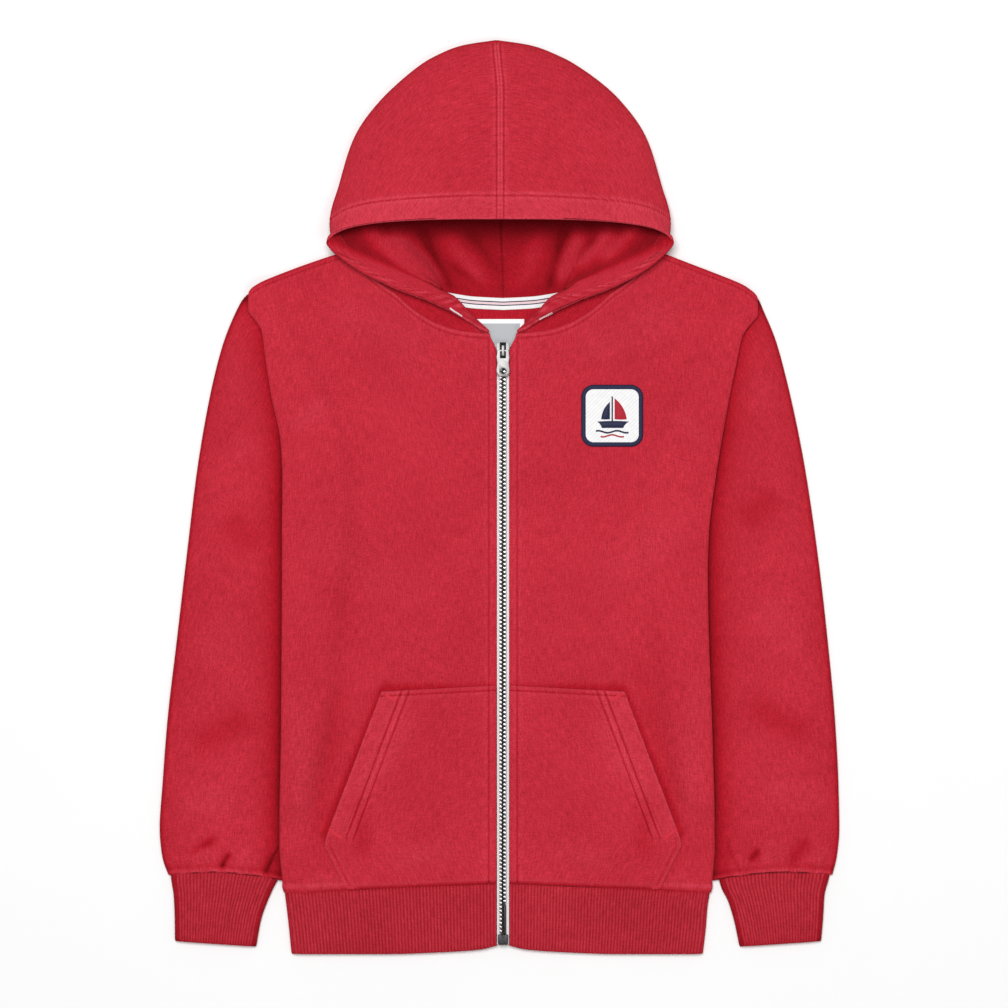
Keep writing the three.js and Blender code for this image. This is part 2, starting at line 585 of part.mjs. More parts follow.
function hoodPanel(side) {
  const sections = HOOD.map(hoodSection);
  const rowIndex = sections.map((_, k) => k);
  const placeIndex = sections[0].map((_, k) => k);
  const axes = ["x", "y", "z"];
  const curve = (index, points, at) => {
    return new THREE.Vector3(...axes.map((axis) => through(index, points.map((p) => p[axis]), at)));
  };
  const sectionAt = (s) => placeIndex.map((k) => {
    const isNeck = k === placeIndex.length - 1;
    if (isNeck) return neckSeam(through(rowIndex, HOOD.map(around), s));
    return curve(rowIndex, sections.map((section) => section[k]), s);
  });
  const places = [0, 0.5, 1, 1.5, 2, 2.5, 3, 3.5, 4, 5, 6, 6.5, 7, 7.5, 8, 9];
  const rows = evenStations(2 * (sections.length - 1)).map((t) => t * (sections.length - 1));
  const grid = rows.map((s) => {
    const section = sectionAt(s);
    return places.map((place) => {
      const point = curve(placeIndex, section, place);
      point.x += hoodLean(point.y, place) * -side - SEAM / 2;
      return point;
    });
  });
  const inside = (j) => places[j] > 4 && places[j] < 6;
  grid.forEach((row) => row.forEach((point, j) => {
    if (inside(j)) point.z += hoodCrease(point.x, point.y);
    point.x *= -side;
  }));
  const steady = (normal, i) => {
    if (i === 0) normal.x = 0;
  };
  return clothWall(grid, { steady });
}

const fronts = new Map([-1, 1].map((side) => [side, new THREE.Mesh(frontPanel(side))]));

// Highest point of a front's facets close round a place
function frontTop(x, y) {
  const ray = new THREE.Raycaster();
  const down = new THREE.Vector3(0, 0, -1);
  let top = -Infinity;
  for (const [dx, dy] of [[0, 0], [-NEAR, 0], [NEAR, 0], [0, -NEAR], [0, NEAR]]) {
    ray.set(new THREE.Vector3(x + dx, y + dy, 10 * (CLOTH + AIR + LIFT)), down);
    const [hit] = ray.intersectObject(fronts.get(x < 0 ? -1 : 1));
    if (hit) top = Math.max(top, hit.point.z);
  }
  return top;
}

// A patch of cloth that lies on a front, made from the front's own surface moved out
function layOnFront(outline, rows, columns, thick, puff = () => 0) {
  const grid = evenStations(rows).map((v) => evenStations(columns).map((u) => {
    const [x, y] = outline(u, v);
    return new THREE.Vector3(x, y, frontTop(x, y) + SEAM + thick / 2 + puff(u, v));
  }));
  return clothWall(grid, { thick });
}

function pocket(side) {
  const outer = (v) => {
    const y = mix(POCKET.topY, POCKET.bottomY, v);
    const down = [POCKET.topY, POCKET.cornerY, POCKET.bottomY];
    const out = [POCKET.topOut, POCKET.cornerOut, POCKET.bottomOut];
    const k = y > POCKET.cornerY ? 0 : 1;
    return mix(out[k], out[k + 1], (down[k] - y) / (down[k] - down[k + 1]));
  };
  const [above, below] = [6, 2]; // rows above and below the outer corner
  const cornerShare = (POCKET.topY - POCKET.cornerY) / (POCKET.topY - POCKET.bottomY);
  const downAt = (v) => {
    const row = v * (above + below);
    return row <= above ? (cornerShare * row) / above : mix(cornerShare, 1, (row - above) / below);
  };
  const outline = (u, v) => {
    const down = downAt(v);
    const y = mix(POCKET.topY, POCKET.bottomY, down);
    return [side * mix(outer(down), POCKET.zipSide, u), y];
  };
  const puff = (u, v) => POCKET.puff * (1 - smoothStep(0, 0.55, u)) * Math.sin(Math.PI * v);
  return layOnFront(outline, above + below, 10, CLOTH, puff);
}

// The chest patch is a square with rounded corners
function patch() {
  const half = PATCH.size / 2;
  const straight = half - PATCH.corner;
  const bands = [...evenStations(4).map((t) => Math.sin((t * Math.PI) / 2) * PATCH.corner + straight)];
  const heights = [...bands.slice().reverse(), straight / 3, -straight / 3, ...bands.map((y) => -y)];
  const outline = (u, v) => {
    const y = heights[Math.round(v * (heights.length - 1))];
    const past = Math.max(0, Math.abs(y) - straight) / PATCH.corner;
    const reach = straight + PATCH.corner * Math.sqrt(1 - past ** 2);
    return [PATCH.x + mix(-reach, reach, u), PATCH.y + y];
  };
  return layOnFront(outline, heights.length - 1, 6, PATCH.thick);
}

// Striped tape over the inside of the back neck seam
function neckTape() {
  const grid = evenStations(2).map((v) => evenStations(10).map((u) => {
    const x = mix(-NECK_TAPE.reach, NECK_TAPE.reach, u);
    const y = topEdge(x, "back") + NECK_TAPE.above - NECK_TAPE.width * v;
    return new THREE.Vector3(x, y, CLOTH + SEAM + TAPE / 2);
  }));
  return clothWall(grid, { thick: TAPE });
}

function label() {
  const grid = evenStations(1).map((v) => evenStations(1).map((u) => new THREE.Vector3(
    LABEL.x + mix(-0.5, 0.5, u) * LABEL.width, LABEL.top - v * LABEL.height, CLOTH + SEAM + TAPE / 2,
  )));
  return clothWall(grid, { thick: TAPE });
}

function zipTape(side) {
  const tops = evenStations(12).map((v) => mix(ZIP_TOP_Y, ZIP_BOTTOM_Y, v));
  const z = frontHeight(0, ZIP_TOP_Y) - RIB / 2 - SEAM - TAPE / 2;
  const across = [SEAM / 2, ZIP_EDGE, ZIP_TAPE_OUT];
  const grid = tops.map((y) => across.map((x) => new THREE.Vector3(side * x, y, z)));
  return clothWall(grid, { thick: TAPE });
}

function extrude(outline, depth, z, holes = []) {
  const shape = new THREE.Shape(outline.map(([x, y]) => new THREE.Vector2(x, y)));
  shape.holes.push(...holes);
  const geometry = new THREE.ExtrudeGeometry(shape, { depth, bevelEnabled: false, curveSegments: 8 });
  return geometry.translate(0, 0, z);
}

function zipChain() {
  const top = SLIDER.y - SLIDER.front - SEAM;
  const bottom = ZIP_BOTTOM_Y + ZIP_BOX.length + SEAM;
  const { half } = CHAIN;
  const notch = PIN.inner - SEAM;
  const besidePin = [[-half, bottom], [notch, bottom], [notch, PIN.top], [half, PIN.top]];
  return extrude([...besidePin, [half, top], [-half, top]], CHAIN.height, CHAIN.underside);
}

function zipPin() {
  const bottom = ZIP_BOTTOM_Y + ZIP_BOX.length + SEAM;
  const top = PIN.top - SEAM;
  const { half } = CHAIN;
  const { inner } = PIN;
  return extrude([[inner, bottom], [half, bottom], [half, top], [inner, top]], CHAIN.height, CHAIN.underside);
}

function zipBox() {
  const { half, length, height, cut } = ZIP_BOX;
  const [low, high] = [ZIP_BOTTOM_Y, ZIP_BOTTOM_Y + length];
  const bottom = [[-half, low + cut], [-half + cut, low], [half - cut, low], [half, low + cut]];
  return extrude([...bottom, [half, high], [-half, high]], height, CHAIN.underside);
}

function toSolid(geometry) {
  const bare = geometry.index ? geometry.toNonIndexed() : geometry.clone();
  bare.deleteAttribute("normal");
  bare.deleteAttribute("uv");
  const merged = mergeVertices(bare, 1e-4);
  return new wasm.Manifold(new wasm.Mesh({
    numProp: 3,
    vertProperties: new Float32Array(merged.attributes.position.array),
    triVerts: new Uint32Array(merged.index.array),
  }));
}

function fromSolid(solid) {
  const made = solid.getMesh();
  const geometry = new THREE.BufferGeometry();
  geometry.setAttribute("position", new THREE.BufferAttribute(new Float32Array(made.vertProperties), 3));
  geometry.setIndex(new THREE.BufferAttribute(new Uint32Array(made.triVerts), 1));
  geometry.computeVertexNormals();
  return geometry;
}

// Slider: a shield-shaped plate over a narrower throat, with a bridge that holds the pull
function zipSlider() {
  const { half, plateHalf, back, front, plateZ, plate, y } = SLIDER;
  const shield = [
    [-plateHalf, 0.55 * back], [-0.55 * plateHalf, back], [0.55 * plateHalf, back], [plateHalf, 0.55 * back],
    [0.82 * plateHalf, -front], [-0.82 * plateHalf, -front],
  ];
  const throat = [[-half, back - 1], [-half, -front], [half, -front], [half, back - 1]].reverse();
  const at = (outline) => outline.map(([px, py]) => [px, py + y]);
  const sink = 0.2;
  const body = toSolid(extrude(at(throat), plateZ - CHAIN.underside + sink, CHAIN.underside));
  const top = toSolid(extrude(at(shield), plate, plateZ));
  const { half: thin, inside, post, rise, beam } = BRIDGE;
  const topZ = plateZ + plate;
  const outer = new THREE.BoxGeometry(2 * thin, 2 * (inside + post), rise + sink);
  outer.translate(0, y, topZ + (rise - sink) / 2);
  const hollow = new THREE.BoxGeometry(4 * thin, 2 * inside, rise - beam);
  hollow.translate(0, y, topZ + (rise - beam) / 2);
  const bridge = toSolid(outer).subtract(toSolid(hollow));
  return fromSolid(body.add(top).add(bridge));
}

const pivotZ = SLIDER.plateZ + SLIDER.plate + PULL.play + PULL.bar;

// Pull tab, lying towards the hem, with a window round the bridge and an eye at its end
function zipPull() {
  const { bar, half, waist, length, window, windowHalf, eye, eyeAt } = PULL;
  const top = [[-half + 1, bar], [-half, bar - 1]];
  const bottom = [[-half, -0.72 * length], [-half, -0.86 * length], [-0.45 * half, -length]];
  const left = [...top, [-waist, -0.48 * length], ...bottom];
  const right = left.slice().reverse().map(([x, y]) => [-x, y]);
  const slot = new THREE.Path();
  slot.moveTo(-windowHalf, -bar);
  slot.lineTo(windowHalf, -bar);
  slot.lineTo(windowHalf, -bar - window);
  slot.lineTo(-windowHalf, -bar - window);
  slot.closePath();
  const hole = new THREE.Path();
  hole.absarc(0, -eyeAt, eye, 0, 2 * Math.PI, true);
  const geometry = extrude([...left, ...right], 2 * bar, pivotZ - bar, [slot, hole]);
  return geometry.translate(0, SLIDER.y, 0);
}

// Colours of the cloth, the tapes and the metal
const finishes = {
  fleece: new THREE.MeshStandardMaterial({ color: 0xb5273a, roughness: 0.95 }),
  rib: new THREE.MeshStandardMaterial({ color: 0xa82236, roughness: 0.95 }),
  tape: new THREE.MeshStandardMaterial({ color: 0xf1eff0, roughness: 0.85 }),
  metal: new THREE.MeshStandardMaterial({ color: 0xb9b9ba, roughness: 0.35, metalness: 1 }),
  patch: new THREE.MeshStandardMaterial({ color: 0xf4f2ef, roughness: 0.8 }),
};

const hoodie = new THREE.Group();
function sew(name, geometry, finish) {
  const mesh = new THREE.Mesh(geometry, finishes[finish]);
  mesh.name = name;
  hoodie.add(mesh);
}

sew("back", backPanel(), "fleece");
for (const side of [-1, 1]) {
  const name = sideName(side);
  sew(`front_${name}`, fronts.get(side).geometry, "fleece");
  sew(`sleeve_${name}`, sleeve(side), "fleece");
  sew(`cuff_${name}`, cuff(side), "rib");
  sew(`hood_${name}`, hoodPanel(side), "fleece");
  sew(`pocket_${name}`, pocket(side), "fleece");
  sew(`zip_tape_${name}`, zipTape(side), "tape");
}
sew("hem_rib", hemBand(), "rib");
sew("neck_tape", neckTape(), "tape");
sew("neck_label", label(), "tape");
sew("chest_patch", patch(), "patch");
sew("zip_chain", zipChain(), "metal");
sew("zip_pin", zipPin(), "metal");
sew("zip_box", zipBox(), "metal");
sew("zip_slider", zipSlider(), "metal");
sew("zip_pull", zipPull(), "metal");

// The origin goes to the middle of the outline, on the surface that the garment lies on
const box = new THREE.Box3().setFromObject(hoodie);
const centre = box.getCenter(new THREE.Vector3());
hoodie.position.set(-centre.x, -centre.y, -box.min.z);

export default hoodie;
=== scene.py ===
"""Looks of a child's zip-front hooded sweatshirt, laid out flat on its back with the hood open.

Tables and sizes are in millimetres, with x = 0 at the zip, y from the hem up to the hood and z from the
surface that it lies on. "right" and "left" are the wearer's, so right is at negative x.
"""

import math

import bmesh
import bpy
import numpy as np
from bpy.props import FloatProperty, FloatVectorProperty, PointerProperty
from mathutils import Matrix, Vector
from mathutils.bvhtree import BVHTree


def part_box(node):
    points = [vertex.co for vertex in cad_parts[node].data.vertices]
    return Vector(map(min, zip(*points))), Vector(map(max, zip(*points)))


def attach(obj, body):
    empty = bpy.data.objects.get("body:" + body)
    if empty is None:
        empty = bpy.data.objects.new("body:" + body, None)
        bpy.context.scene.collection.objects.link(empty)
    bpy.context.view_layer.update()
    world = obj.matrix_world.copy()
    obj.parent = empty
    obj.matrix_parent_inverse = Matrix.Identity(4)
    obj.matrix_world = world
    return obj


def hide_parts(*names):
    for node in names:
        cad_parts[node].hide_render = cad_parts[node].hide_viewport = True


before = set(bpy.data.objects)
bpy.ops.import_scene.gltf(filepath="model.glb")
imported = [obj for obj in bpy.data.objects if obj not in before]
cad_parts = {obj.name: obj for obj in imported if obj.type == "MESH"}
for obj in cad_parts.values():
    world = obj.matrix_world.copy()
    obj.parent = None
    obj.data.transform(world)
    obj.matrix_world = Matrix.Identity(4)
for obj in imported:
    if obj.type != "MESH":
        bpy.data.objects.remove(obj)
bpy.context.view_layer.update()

bl_info = {
    "name": "Zip hoodie",
    "version": (1, 0, 0),
    "blender": (4, 5, 0),
    "location": "View3D > Sidebar > Hoodie",
    "description": "Builds the cloth, ribs, stitches and zip of a child's hooded sweatshirt",
    "category": "Add Mesh",
}

MM = 0.001
ZIP_BOX_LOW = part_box("zip_box")[0]
CHAIN_LOW, CHAIN_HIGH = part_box("zip_chain")
ORIGIN = np.array([(CHAIN_LOW.x + CHAIN_HIGH.x) / 2, ZIP_BOX_LOW.y - 11.5 * MM, 0.0])

# Thicknesses and layers
CLOTH = 2.2
RIB = 2.6
RIB_RISE = 0.75
RIB_PITCH = 2.95
# Painted shading of the rib knit: the outer face darker and the inner face darker still, as painted shade with deeper
# red, and rib tops painted lighter and hollows darker by 2.1 times their rise.
RIB_SHADING_AND_WEAR = {"wear": -1.15, "inner_wear": -0.8, "relief_shading_and_rub": 2.1}
CUFF_RIBS = 27
TAPE = 1.0
SEAM = 0.3
AIR = 2.2
NECK_V = 6  # how far the fronts stand back from the zip at its top
ZIP_RISE = 1.4
ZIP_RISE_FROM = 21
ZIP_RISE_TO = 52
WAVES = {"height": 0.45, "across": 31, "slant": 74, "down": 47, "shift": 0.6}
FOLD = 3.2
SOFT_FOLD = 24
SLEEVE_FLAT = 5.6
SLEEVE_PUFF = 2.6
LIFT = 6.6
LIFT_CLEAR = 12
LIFT_SLOPE = 22
LIFT_LOW_Y = 108
LIFT_HIGH_Y = 142

# Places along the body
SHOULDER_TIP_Y = 569
SHOULDER_TIP_X = 219
NECK_POINT_X = 127
NECK_POINT_Y = 609
HEM_SEAM_SIDE_Y = 57
HEM_SEAM_SIDE_X = 170
HEM_SEAM_ZIP_Y = 65
ARMPIT_Y = 415
CAP = 8
ZIP_EDGE = 5.2
FRONT_STITCH = 7.0  # from a front's edge at the zip to the stitches beside it
NECK_STITCH = 4.7  # from the neckline and the shoulder seam to the stitches under them

# The side edge of the body, from the shoulder tip down to the rib: y, right, left
SIDE_EDGE = np.array([
    (569, 219, 219), (551, 207.5, 206), (525, 204, 200.4), (493, 199, 194), (452, 191, 187),
    (419, 189.6, 182), (375, 190, 177), (341, 190, 176), (187, 191, 180.3), (100, 192.5, 182.3),
    (57, 189, 179.5),
])
# Upper edge of the fronts and of the back: distance from the zip line, front, back
NECKLINE = np.array([
    (0, 535.6, 564.2), (25, 537.4, 565.5), (40, 539.4, 567.6), (55, 544, 570.4), (70, 552, 574),
    (82, 561, 578.2), (93, 571, 583.2), (108, 581.6, 592), (119, 593, 601), (127, 609, 609),
])
# Shoulder line: distance from the zip line, right, left
SHOULDER = np.array([
    (127, 609, 609), (158, 599, 596.8), (182, 590.4, 587.6), (203, 581.8, 578.8),
    (215, 574.6, 570.4), (219, 569, 565),
])
# Sleeve from the armhole to the cuff seam: outer y, right, left, inner y, tucked under the body
SLEEVE = np.array([
    (574, 212, 208, 420, 36), (568.5, 220.4, 216.6, 416, 36), (564, 224.4, 220.2, 412, 36),
    (556.5, 228.5, 223.4, 408, 36), (531, 239.2, 234, 392, 35),
    (496, 248.8, 243.7, 366, 34), (427, 261.6, 258.3, 320, 30), (340, 272.4, 271.2, 265, 24),
    (270, 280.6, 279.2, 218, 18.5), (205, 288.2, 285.2, 172, 11), (150, 292.5, 288.2, 136, 3),
    (112, 295, 289, 104, 2.4), (88, 293, 287, 83, 2), (71, 287.5, 283, 66, 1.2),
])
CUFF_SEAM_BOW = 4.5
# Cuff from the seam to the end: outer y, right, left, inner y, inner right, inner left
CUFF = np.array([
    (73.6, 286, 281.6, 68.6, 192.4, 184.9), (64, 284.8, 279, 60, 197, 187.5),
    (54, 283.2, 276.5, 50, 201.5, 192.6), (35, 282.3, 275.3, 33, 207.5, 198),
    (14, 282, 273.5, 9.5, 211.8, 203),
])
CUFF_HEIGHT = 6.6
# Half width of the hem rib down its height: share, right, left
HEM_SIDE = np.array([(0, 188.6, 179), (0.25, 186.8, 176.6), (0.6, 184.6, 175), (1, 182.4, 172.4)])
# Lower edge of the hem rib: distance from the zip line, y
HEM_EDGE = np.array([(5, 11), (20, 7.4), (60, 4.4), (100, 3.2), (190, 3.2)])

# Hood sections from the back seam round to the front of the neck: the rim of the face opening, the outer
# fold (x, y, z, radius), the inner fold (the same), and where the section meets the neckline.
HOOD = [
    {"rim": (0, 631, 42), "out": (0, 787, 5.5, 4.4), "in": (0, 565, 1.1, 0), "back": 0},
    {"rim": (15, 631, 41.9), "out": (29, 782.5, 5.5, 4.4), "in": (9, 565.2, 1.1, 0), "back": 9},
    {"rim": (30, 631, 41.5), "out": (57, 771.5, 5.5, 4.4), "in": (17, 566, 1.1, 0), "back": 17},
    {"rim": (60, 630.6, 40), "out": (101, 737, 5.5, 4.4), "in": (32, 567, 1.1, 0), "back": 32},
    {"rim": (88, 629.6, 36), "out": (125, 702.6, 6, 4.9), "in": (46, 569.2, 1.1, 0), "back": 46},
    {"rim": (112, 627.6, 31.5), "out": (137, 664, 8, 5.4), "in": (53, 574, 5, 2), "back": 74},
    {"rim": (133, 623.6, 26.5), "out": (144.6, 634, 13, 5), "in": (59, 578, 8, 2.6), "back": 103},
    {"rim": (148.5, 613, 20.5), "in": (62, 579, 9, 2.8), "back": 127},
    {"rim": (131, 595, 18.5), "in": (60.5, 577, 9, 2.8), "back": 138},
    {"rim": (98, 576.6, 17.5), "in": (55, 573, 8.6, 2.8), "back": 161},
    {"rim": (62, 562.5, 16), "in": (43, 567.5, 8.4, 2.6), "back": 186},
    {"rim": (38, 551.5, 14.5), "in": (28, 552, 8.6, 2.4), "back": 214},
    {"rim": (17.2, 539.4, 12.5), "in": (12.0, 537.2, 9.2, 1.9), "back": 243},
]
HOOD_CORNER = 7  # the section where the rim meets the outer fold
NECK_CORNER = 22
NECK_CORNER_ROOM = 2
HOOD_LEAN = -2.4
CROWN_LEAN = -3.2
HOOD_DOME = 5
HOOD_LAP = 1.2  # how far each half of the hood reaches past the middle seam
HOOD_DOME_REACH = 120
LAPEL_SHARES = (0.16, 0.32, 0.46, 0.6, 0.8)
CORNER_SHARES = (0.02, 0.045, 0.08, 0.3, 0.62)

# Pockets, in distances from the zip line
POCKET = {
    "top": 232.5, "bottom": 67.5, "zip": 6.2, "top_out": 104, "corner_out": 154, "corner": 107,
    "bottom_out": 134, "puff": 1.6,
}
NECK_TAPE = {"reach": 58, "above": 2.4, "width": 10.4}
LABEL = {"x": -4.2, "top": 548.5, "width": 45, "height": 30}
PATCH = {"x": 93.7, "y": 465.3, "size": 52, "corner": 10, "thick": 1.3}
ZIP_TAPE_OUT = 13
ZIP_TOP_Y = 526
ZIP_BOTTOM_Y = 11.5
CHAIN_BASE = 5.6
CHAIN_LOW_Y = 21.6
CHAIN_TOP_Y = 513.6
CHAIN_MIDDLE = -0.3
TOOTH_PITCH = 3.44  # between teeth on the same side
SLIDER_Y = 521


def through(stations, values, at):
    """A smooth curve through a table's values, which never overshoots them."""
    xs = np.asarray(stations, float)
    ys = np.asarray(values, float)
    if xs[0] > xs[-1]:
        xs, ys = xs[::-1], ys[::-1]
    plain = ys.ndim == 1
    ys = ys.reshape(len(xs), -1)
    at = np.clip(np.asarray(at, float), xs[0], xs[-1])
    gaps = np.diff(xs)
    secants = np.diff(ys, axis=0) / gaps[:, None]
    before, after = secants[:-1], secants[1:]
    same = before * after > 0
    slopes = np.where(same, 2 * before * after / np.where(same, before + after, 1), 0)
    slopes = np.concatenate([secants[:1], slopes, secants[-1:]])
    k = np.clip(np.searchsorted(xs, at, side="right") - 1, 0, len(gaps) - 1)
    t = ((at - xs[k]) / gaps[k])[..., None]
    a = slopes[k] * gaps[k][..., None]
    b = slopes[k + 1] * gaps[k][..., None]
    p, q = ys[k], ys[k + 1]
    found = p + t * (a + t * (3 * (q - p) - 2 * a - b + t * (2 * (p - q) + a + b)))
    return found[..., 0] if plain else found


def mix(a, b, t):
    return a + (b - a) * t


def smooth_step(low, high, at):
    t = np.clip((np.asarray(at, float) - low) / (high - low), 0, 1)
    return t * t * (3 - 2 * t)


def quarter_turn(share):
    return np.sqrt(1 - (1 - np.clip(share, 0, 1)) ** 2)


def side_name(side):
    return "right" if side < 0 else "left"


def pick(side):
    """Column of a table for the wearer's right or left."""
    return 1 if side < 0 else 2


def graded(marks, end, step):
    """Distances that pass through the marks, and then run on evenly to the end."""
    count = max(1, int(round((end - marks[-1]) / step)))
    return np.concatenate([marks, np.linspace(marks[-1], end, count + 1)[1:]])


def beside(place, fine=0.55, reach=3):
    """Distances close round a line of stitches."""
    return [place + fine * k for k in range(-reach, reach + 1)]


def to_line(x, y, line):
    """Distance from each place to a broken line."""
    best = np.full(np.shape(x), 1e9)
    for (ax, ay), (bx, by) in zip(line[:-1], line[1:]):
        dx, dy = bx - ax, by - ay
        t = np.clip(((x - ax) * dx + (y - ay) * dy) / (dx * dx + dy * dy), 0, 1)
        best = np.minimum(best, np.hypot(x - ax - t * dx, y - ay - t * dy))
    return best


def groove(distance, depth=0.5):
    """A line of stitches draws the cloth down, and the cloth stands a little higher beside it."""
    return -depth * np.exp(-((distance / 0.85) ** 2)) + 0.3 * depth * np.exp(-((distance / 3.2) ** 2))


def creases(rows, x, y):
    """Soft ridges (or troughs, where the rise is negative) along lines that fade at their ends."""
    z = np.zeros(np.broadcast(x, y).shape)
    for x1, y1, x2, y2, rise, width in rows:
        dx, dy = x2 - x1, y2 - y1
        length = math.hypot(dx, dy)
        t = ((x - x1) * dx + (y - y1) * dy) / length**2
        off = ((x - x1) * dy - (y - y1) * dx) / length
        fade = smooth_step(-0.1, 0.3, t) * (1 - smooth_step(0.75, 1.1, t))
        z = z + rise * fade * np.exp(-((off / width) ** 2))
    return z


# Body


def side_edge(y, side):
    return through(SIDE_EDGE[:, 0], SIDE_EDGE[:, pick(side)], y)


def tucked_under(y):
    return through(SLEEVE[:, 3], SLEEVE[:, 4], y)


def hem_seam_y(out):
    return mix(HEM_SEAM_ZIP_Y, HEM_SEAM_SIDE_Y, np.minimum(1, np.abs(out) / HEM_SEAM_SIDE_X))


def top_edge(out, side, layer):
    neck = through(NECKLINE[:, 0], NECKLINE[:, 1 if layer == "front" else 2], out)
    return np.where(out > NECK_POINT_X, through(SHOULDER[:, 0], SHOULDER[:, pick(side)], out), neck)


def sleeve_start(y, side):
    """How far from the zip line the edge of a sleeve lies under the body."""
    below = side_edge(y, side) - tucked_under(y)
    armpit = side_edge(ARMPIT_Y, side) - tucked_under(ARMPIT_Y)
    share = np.clip((y - ARMPIT_Y) / (SHOULDER_TIP_Y - ARMPIT_Y), 0, 2)
    above = mix(armpit, SHOULDER_TIP_X, share) - CAP * np.sin(np.pi * np.minimum(1, share))
    return np.where(y < ARMPIT_Y, below, above)


def lift(out, y, side):
    """How far a sleeve under the body lifts it."""
    inside = sleeve_start(y, side) - out
    down = 1 - smooth_step(LIFT_CLEAR, LIFT_CLEAR + LIFT_SLOPE, inside)
    return LIFT * smooth_step(LIFT_LOW_Y, LIFT_HIGH_Y, y) * down


def waves(x, y):
    w = WAVES
    return w["height"] * np.sin(x / w["across"] + y / w["slant"]) * np.sin(y / w["down"] - w["shift"])


def back_height(out, y, side):
    return CLOTH / 2 + lift(out, y, side)


def zip_rise(out):
    return 1 - smooth_step(ZIP_RISE_FROM, ZIP_RISE_TO, out)


# Soft creases of the fronts, as x, y to x, y, rise, width: troughs beside the pockets' openings, folds at
# the armpits and drag lines at the hem
FRONT_CREASES = {
    -1: [
        (-136, 250, -162, 96, -0.9, 9), (-118, 116, -124, 64, -1.0, 7), (-176, 240, -170, 110, 0.5, 10),
        (-182, 452, -150, 478, 0.6, 8), (-120, 250, -150, 330, -0.35, 14), (-60, 520, -150, 560, 0.4, 16),
        (-70, 300, -168, 372, 0.3, 18), (-30, 140, -80, 78, 0.35, 12), (-168, 70, -128, 64, 0.6, 5),
    ],
    1: [
        (112, 270, 152, 120, -0.8, 9), (92, 214, 128, 78, -1.0, 9), (166, 250, 160, 110, 0.5, 10),
        (176, 440, 146, 470, 0.5, 8), (130, 300, 142, 220, -0.4, 10), (60, 515, 150, 556, 0.4, 16),
        (80, 320, 160, 380, 0.3, 18), (36, 130, 84, 72, 0.35, 12), (160, 70, 138, 66, 0.5, 5),
    ],
}


def front_height(out, y, side):
    near = zip_rise(out)
    x = side * out
    loose = waves(x, y) + 1.4 * creases(FRONT_CREASES[side], x, y)
    return back_height(out, y, side) + CLOTH + AIR + ZIP_RISE * near + loose * (1 - near)


def panel_edge(y, side):
    return side_edge(y, side) - CLOTH / 2


def body_grid(side, layer, from_zip, from_top, rows):
    """Points on the middle surface of a front or of half the back.

    from_zip are distances from a front's edge at the top, from the zip outwards, from_top are distances
    from the upper edge, and rows is how many rows follow down to the hem seam."""
    steady = 20
    start = panel_edge(SHOULDER_TIP_Y, side) - ZIP_EDGE
    far = np.clip((from_zip - steady) / (start - steady), 0, 1)
    top = top_edge(ZIP_EDGE + from_zip, side, layer)[None, :]
    down = np.linspace(0, 1, rows + 1)[1:, None]
    guide = np.concatenate([np.zeros((len(from_top), 1)), down])
    edge = panel_edge(mix(SHOULDER_TIP_Y, HEM_SEAM_SIDE_Y, guide), side) - ZIP_EDGE
    out = ZIP_EDGE + np.where(from_zip <= steady, from_zip, steady + far * (edge - steady))
    seam = hem_seam_y(out) - 1.3 if layer == "front" else np.full(out.shape, HEM_SEAM_SIDE_Y - 1.0)
    first = top - np.asarray(from_top)[:, None]
    rest = mix(first[-1:], seam[len(from_top):] + SEAM / 2, down)
    y = np.concatenate([np.broadcast_to(first, (len(from_top), len(from_zip))), rest])
    from_side = edge + ZIP_EDGE - out
    if layer == "front":
        out = out + NECK_V * smooth_step(520, 536, y) * (1 - smooth_step(0, 46, from_zip))
    over = top - y
    corner = np.hypot(out - NECK_POINT_X, y - NECK_POINT_Y)
    to_shoulder = np.where(out > NECK_POINT_X, over, corner)
    low = back_height(out, y, side)
    high = front_height(out, y, side) if layer == "front" else low
    stack = back_height(out, y, side) + (CLOTH + AIR) / 2
    side_turn = quarter_turn(from_side / FOLD)
    if layer == "front":
        shoulder_turn = quarter_turn(to_shoulder / SOFT_FOLD)
        turn = np.minimum(side_turn, shoulder_turn)
        z = mix(stack + SEAM / 2, high, turn)
    else:
        turn = np.minimum(side_turn, quarter_turn(to_shoulder / FOLD))
        z = mix(stack - SEAM / 2, low, turn)
    return np.stack([side * out, y, z], axis=-1)


# Meshes


def to_metres(points):
    return np.asarray(points, float) * MM + ORIGIN


def mesh_object(name, points, faces, uvs=None, material=None, wear=None):
    """A smooth mesh from points in metres and faces, with a UV map of one pair for each face corner.

    The last argument is a value for each point: above 0 painted highlight with rubbed, faded cloth, below 0 painted
    shade with deeper red."""
    mesh = bpy.data.meshes.new(name)
    mesh.from_pydata(points.tolist(), [], faces)
    if wear is not None:
        mesh.attributes.new("wear", "FLOAT", "POINT").data.foreach_set("value", np.asarray(wear, np.float32))
    if uvs is not None:
        layer = mesh.uv_layers.new(name="Cloth")
        layer.data.foreach_set("uv", np.asarray(uvs, np.float32).ravel())
    mesh.shade_smooth()
    mesh.validate()
    piece = bpy.data.objects.new(name, mesh)
    bpy.context.scene.collection.objects.link(piece)
    if material:
        mesh.materials.append(material)
    return piece


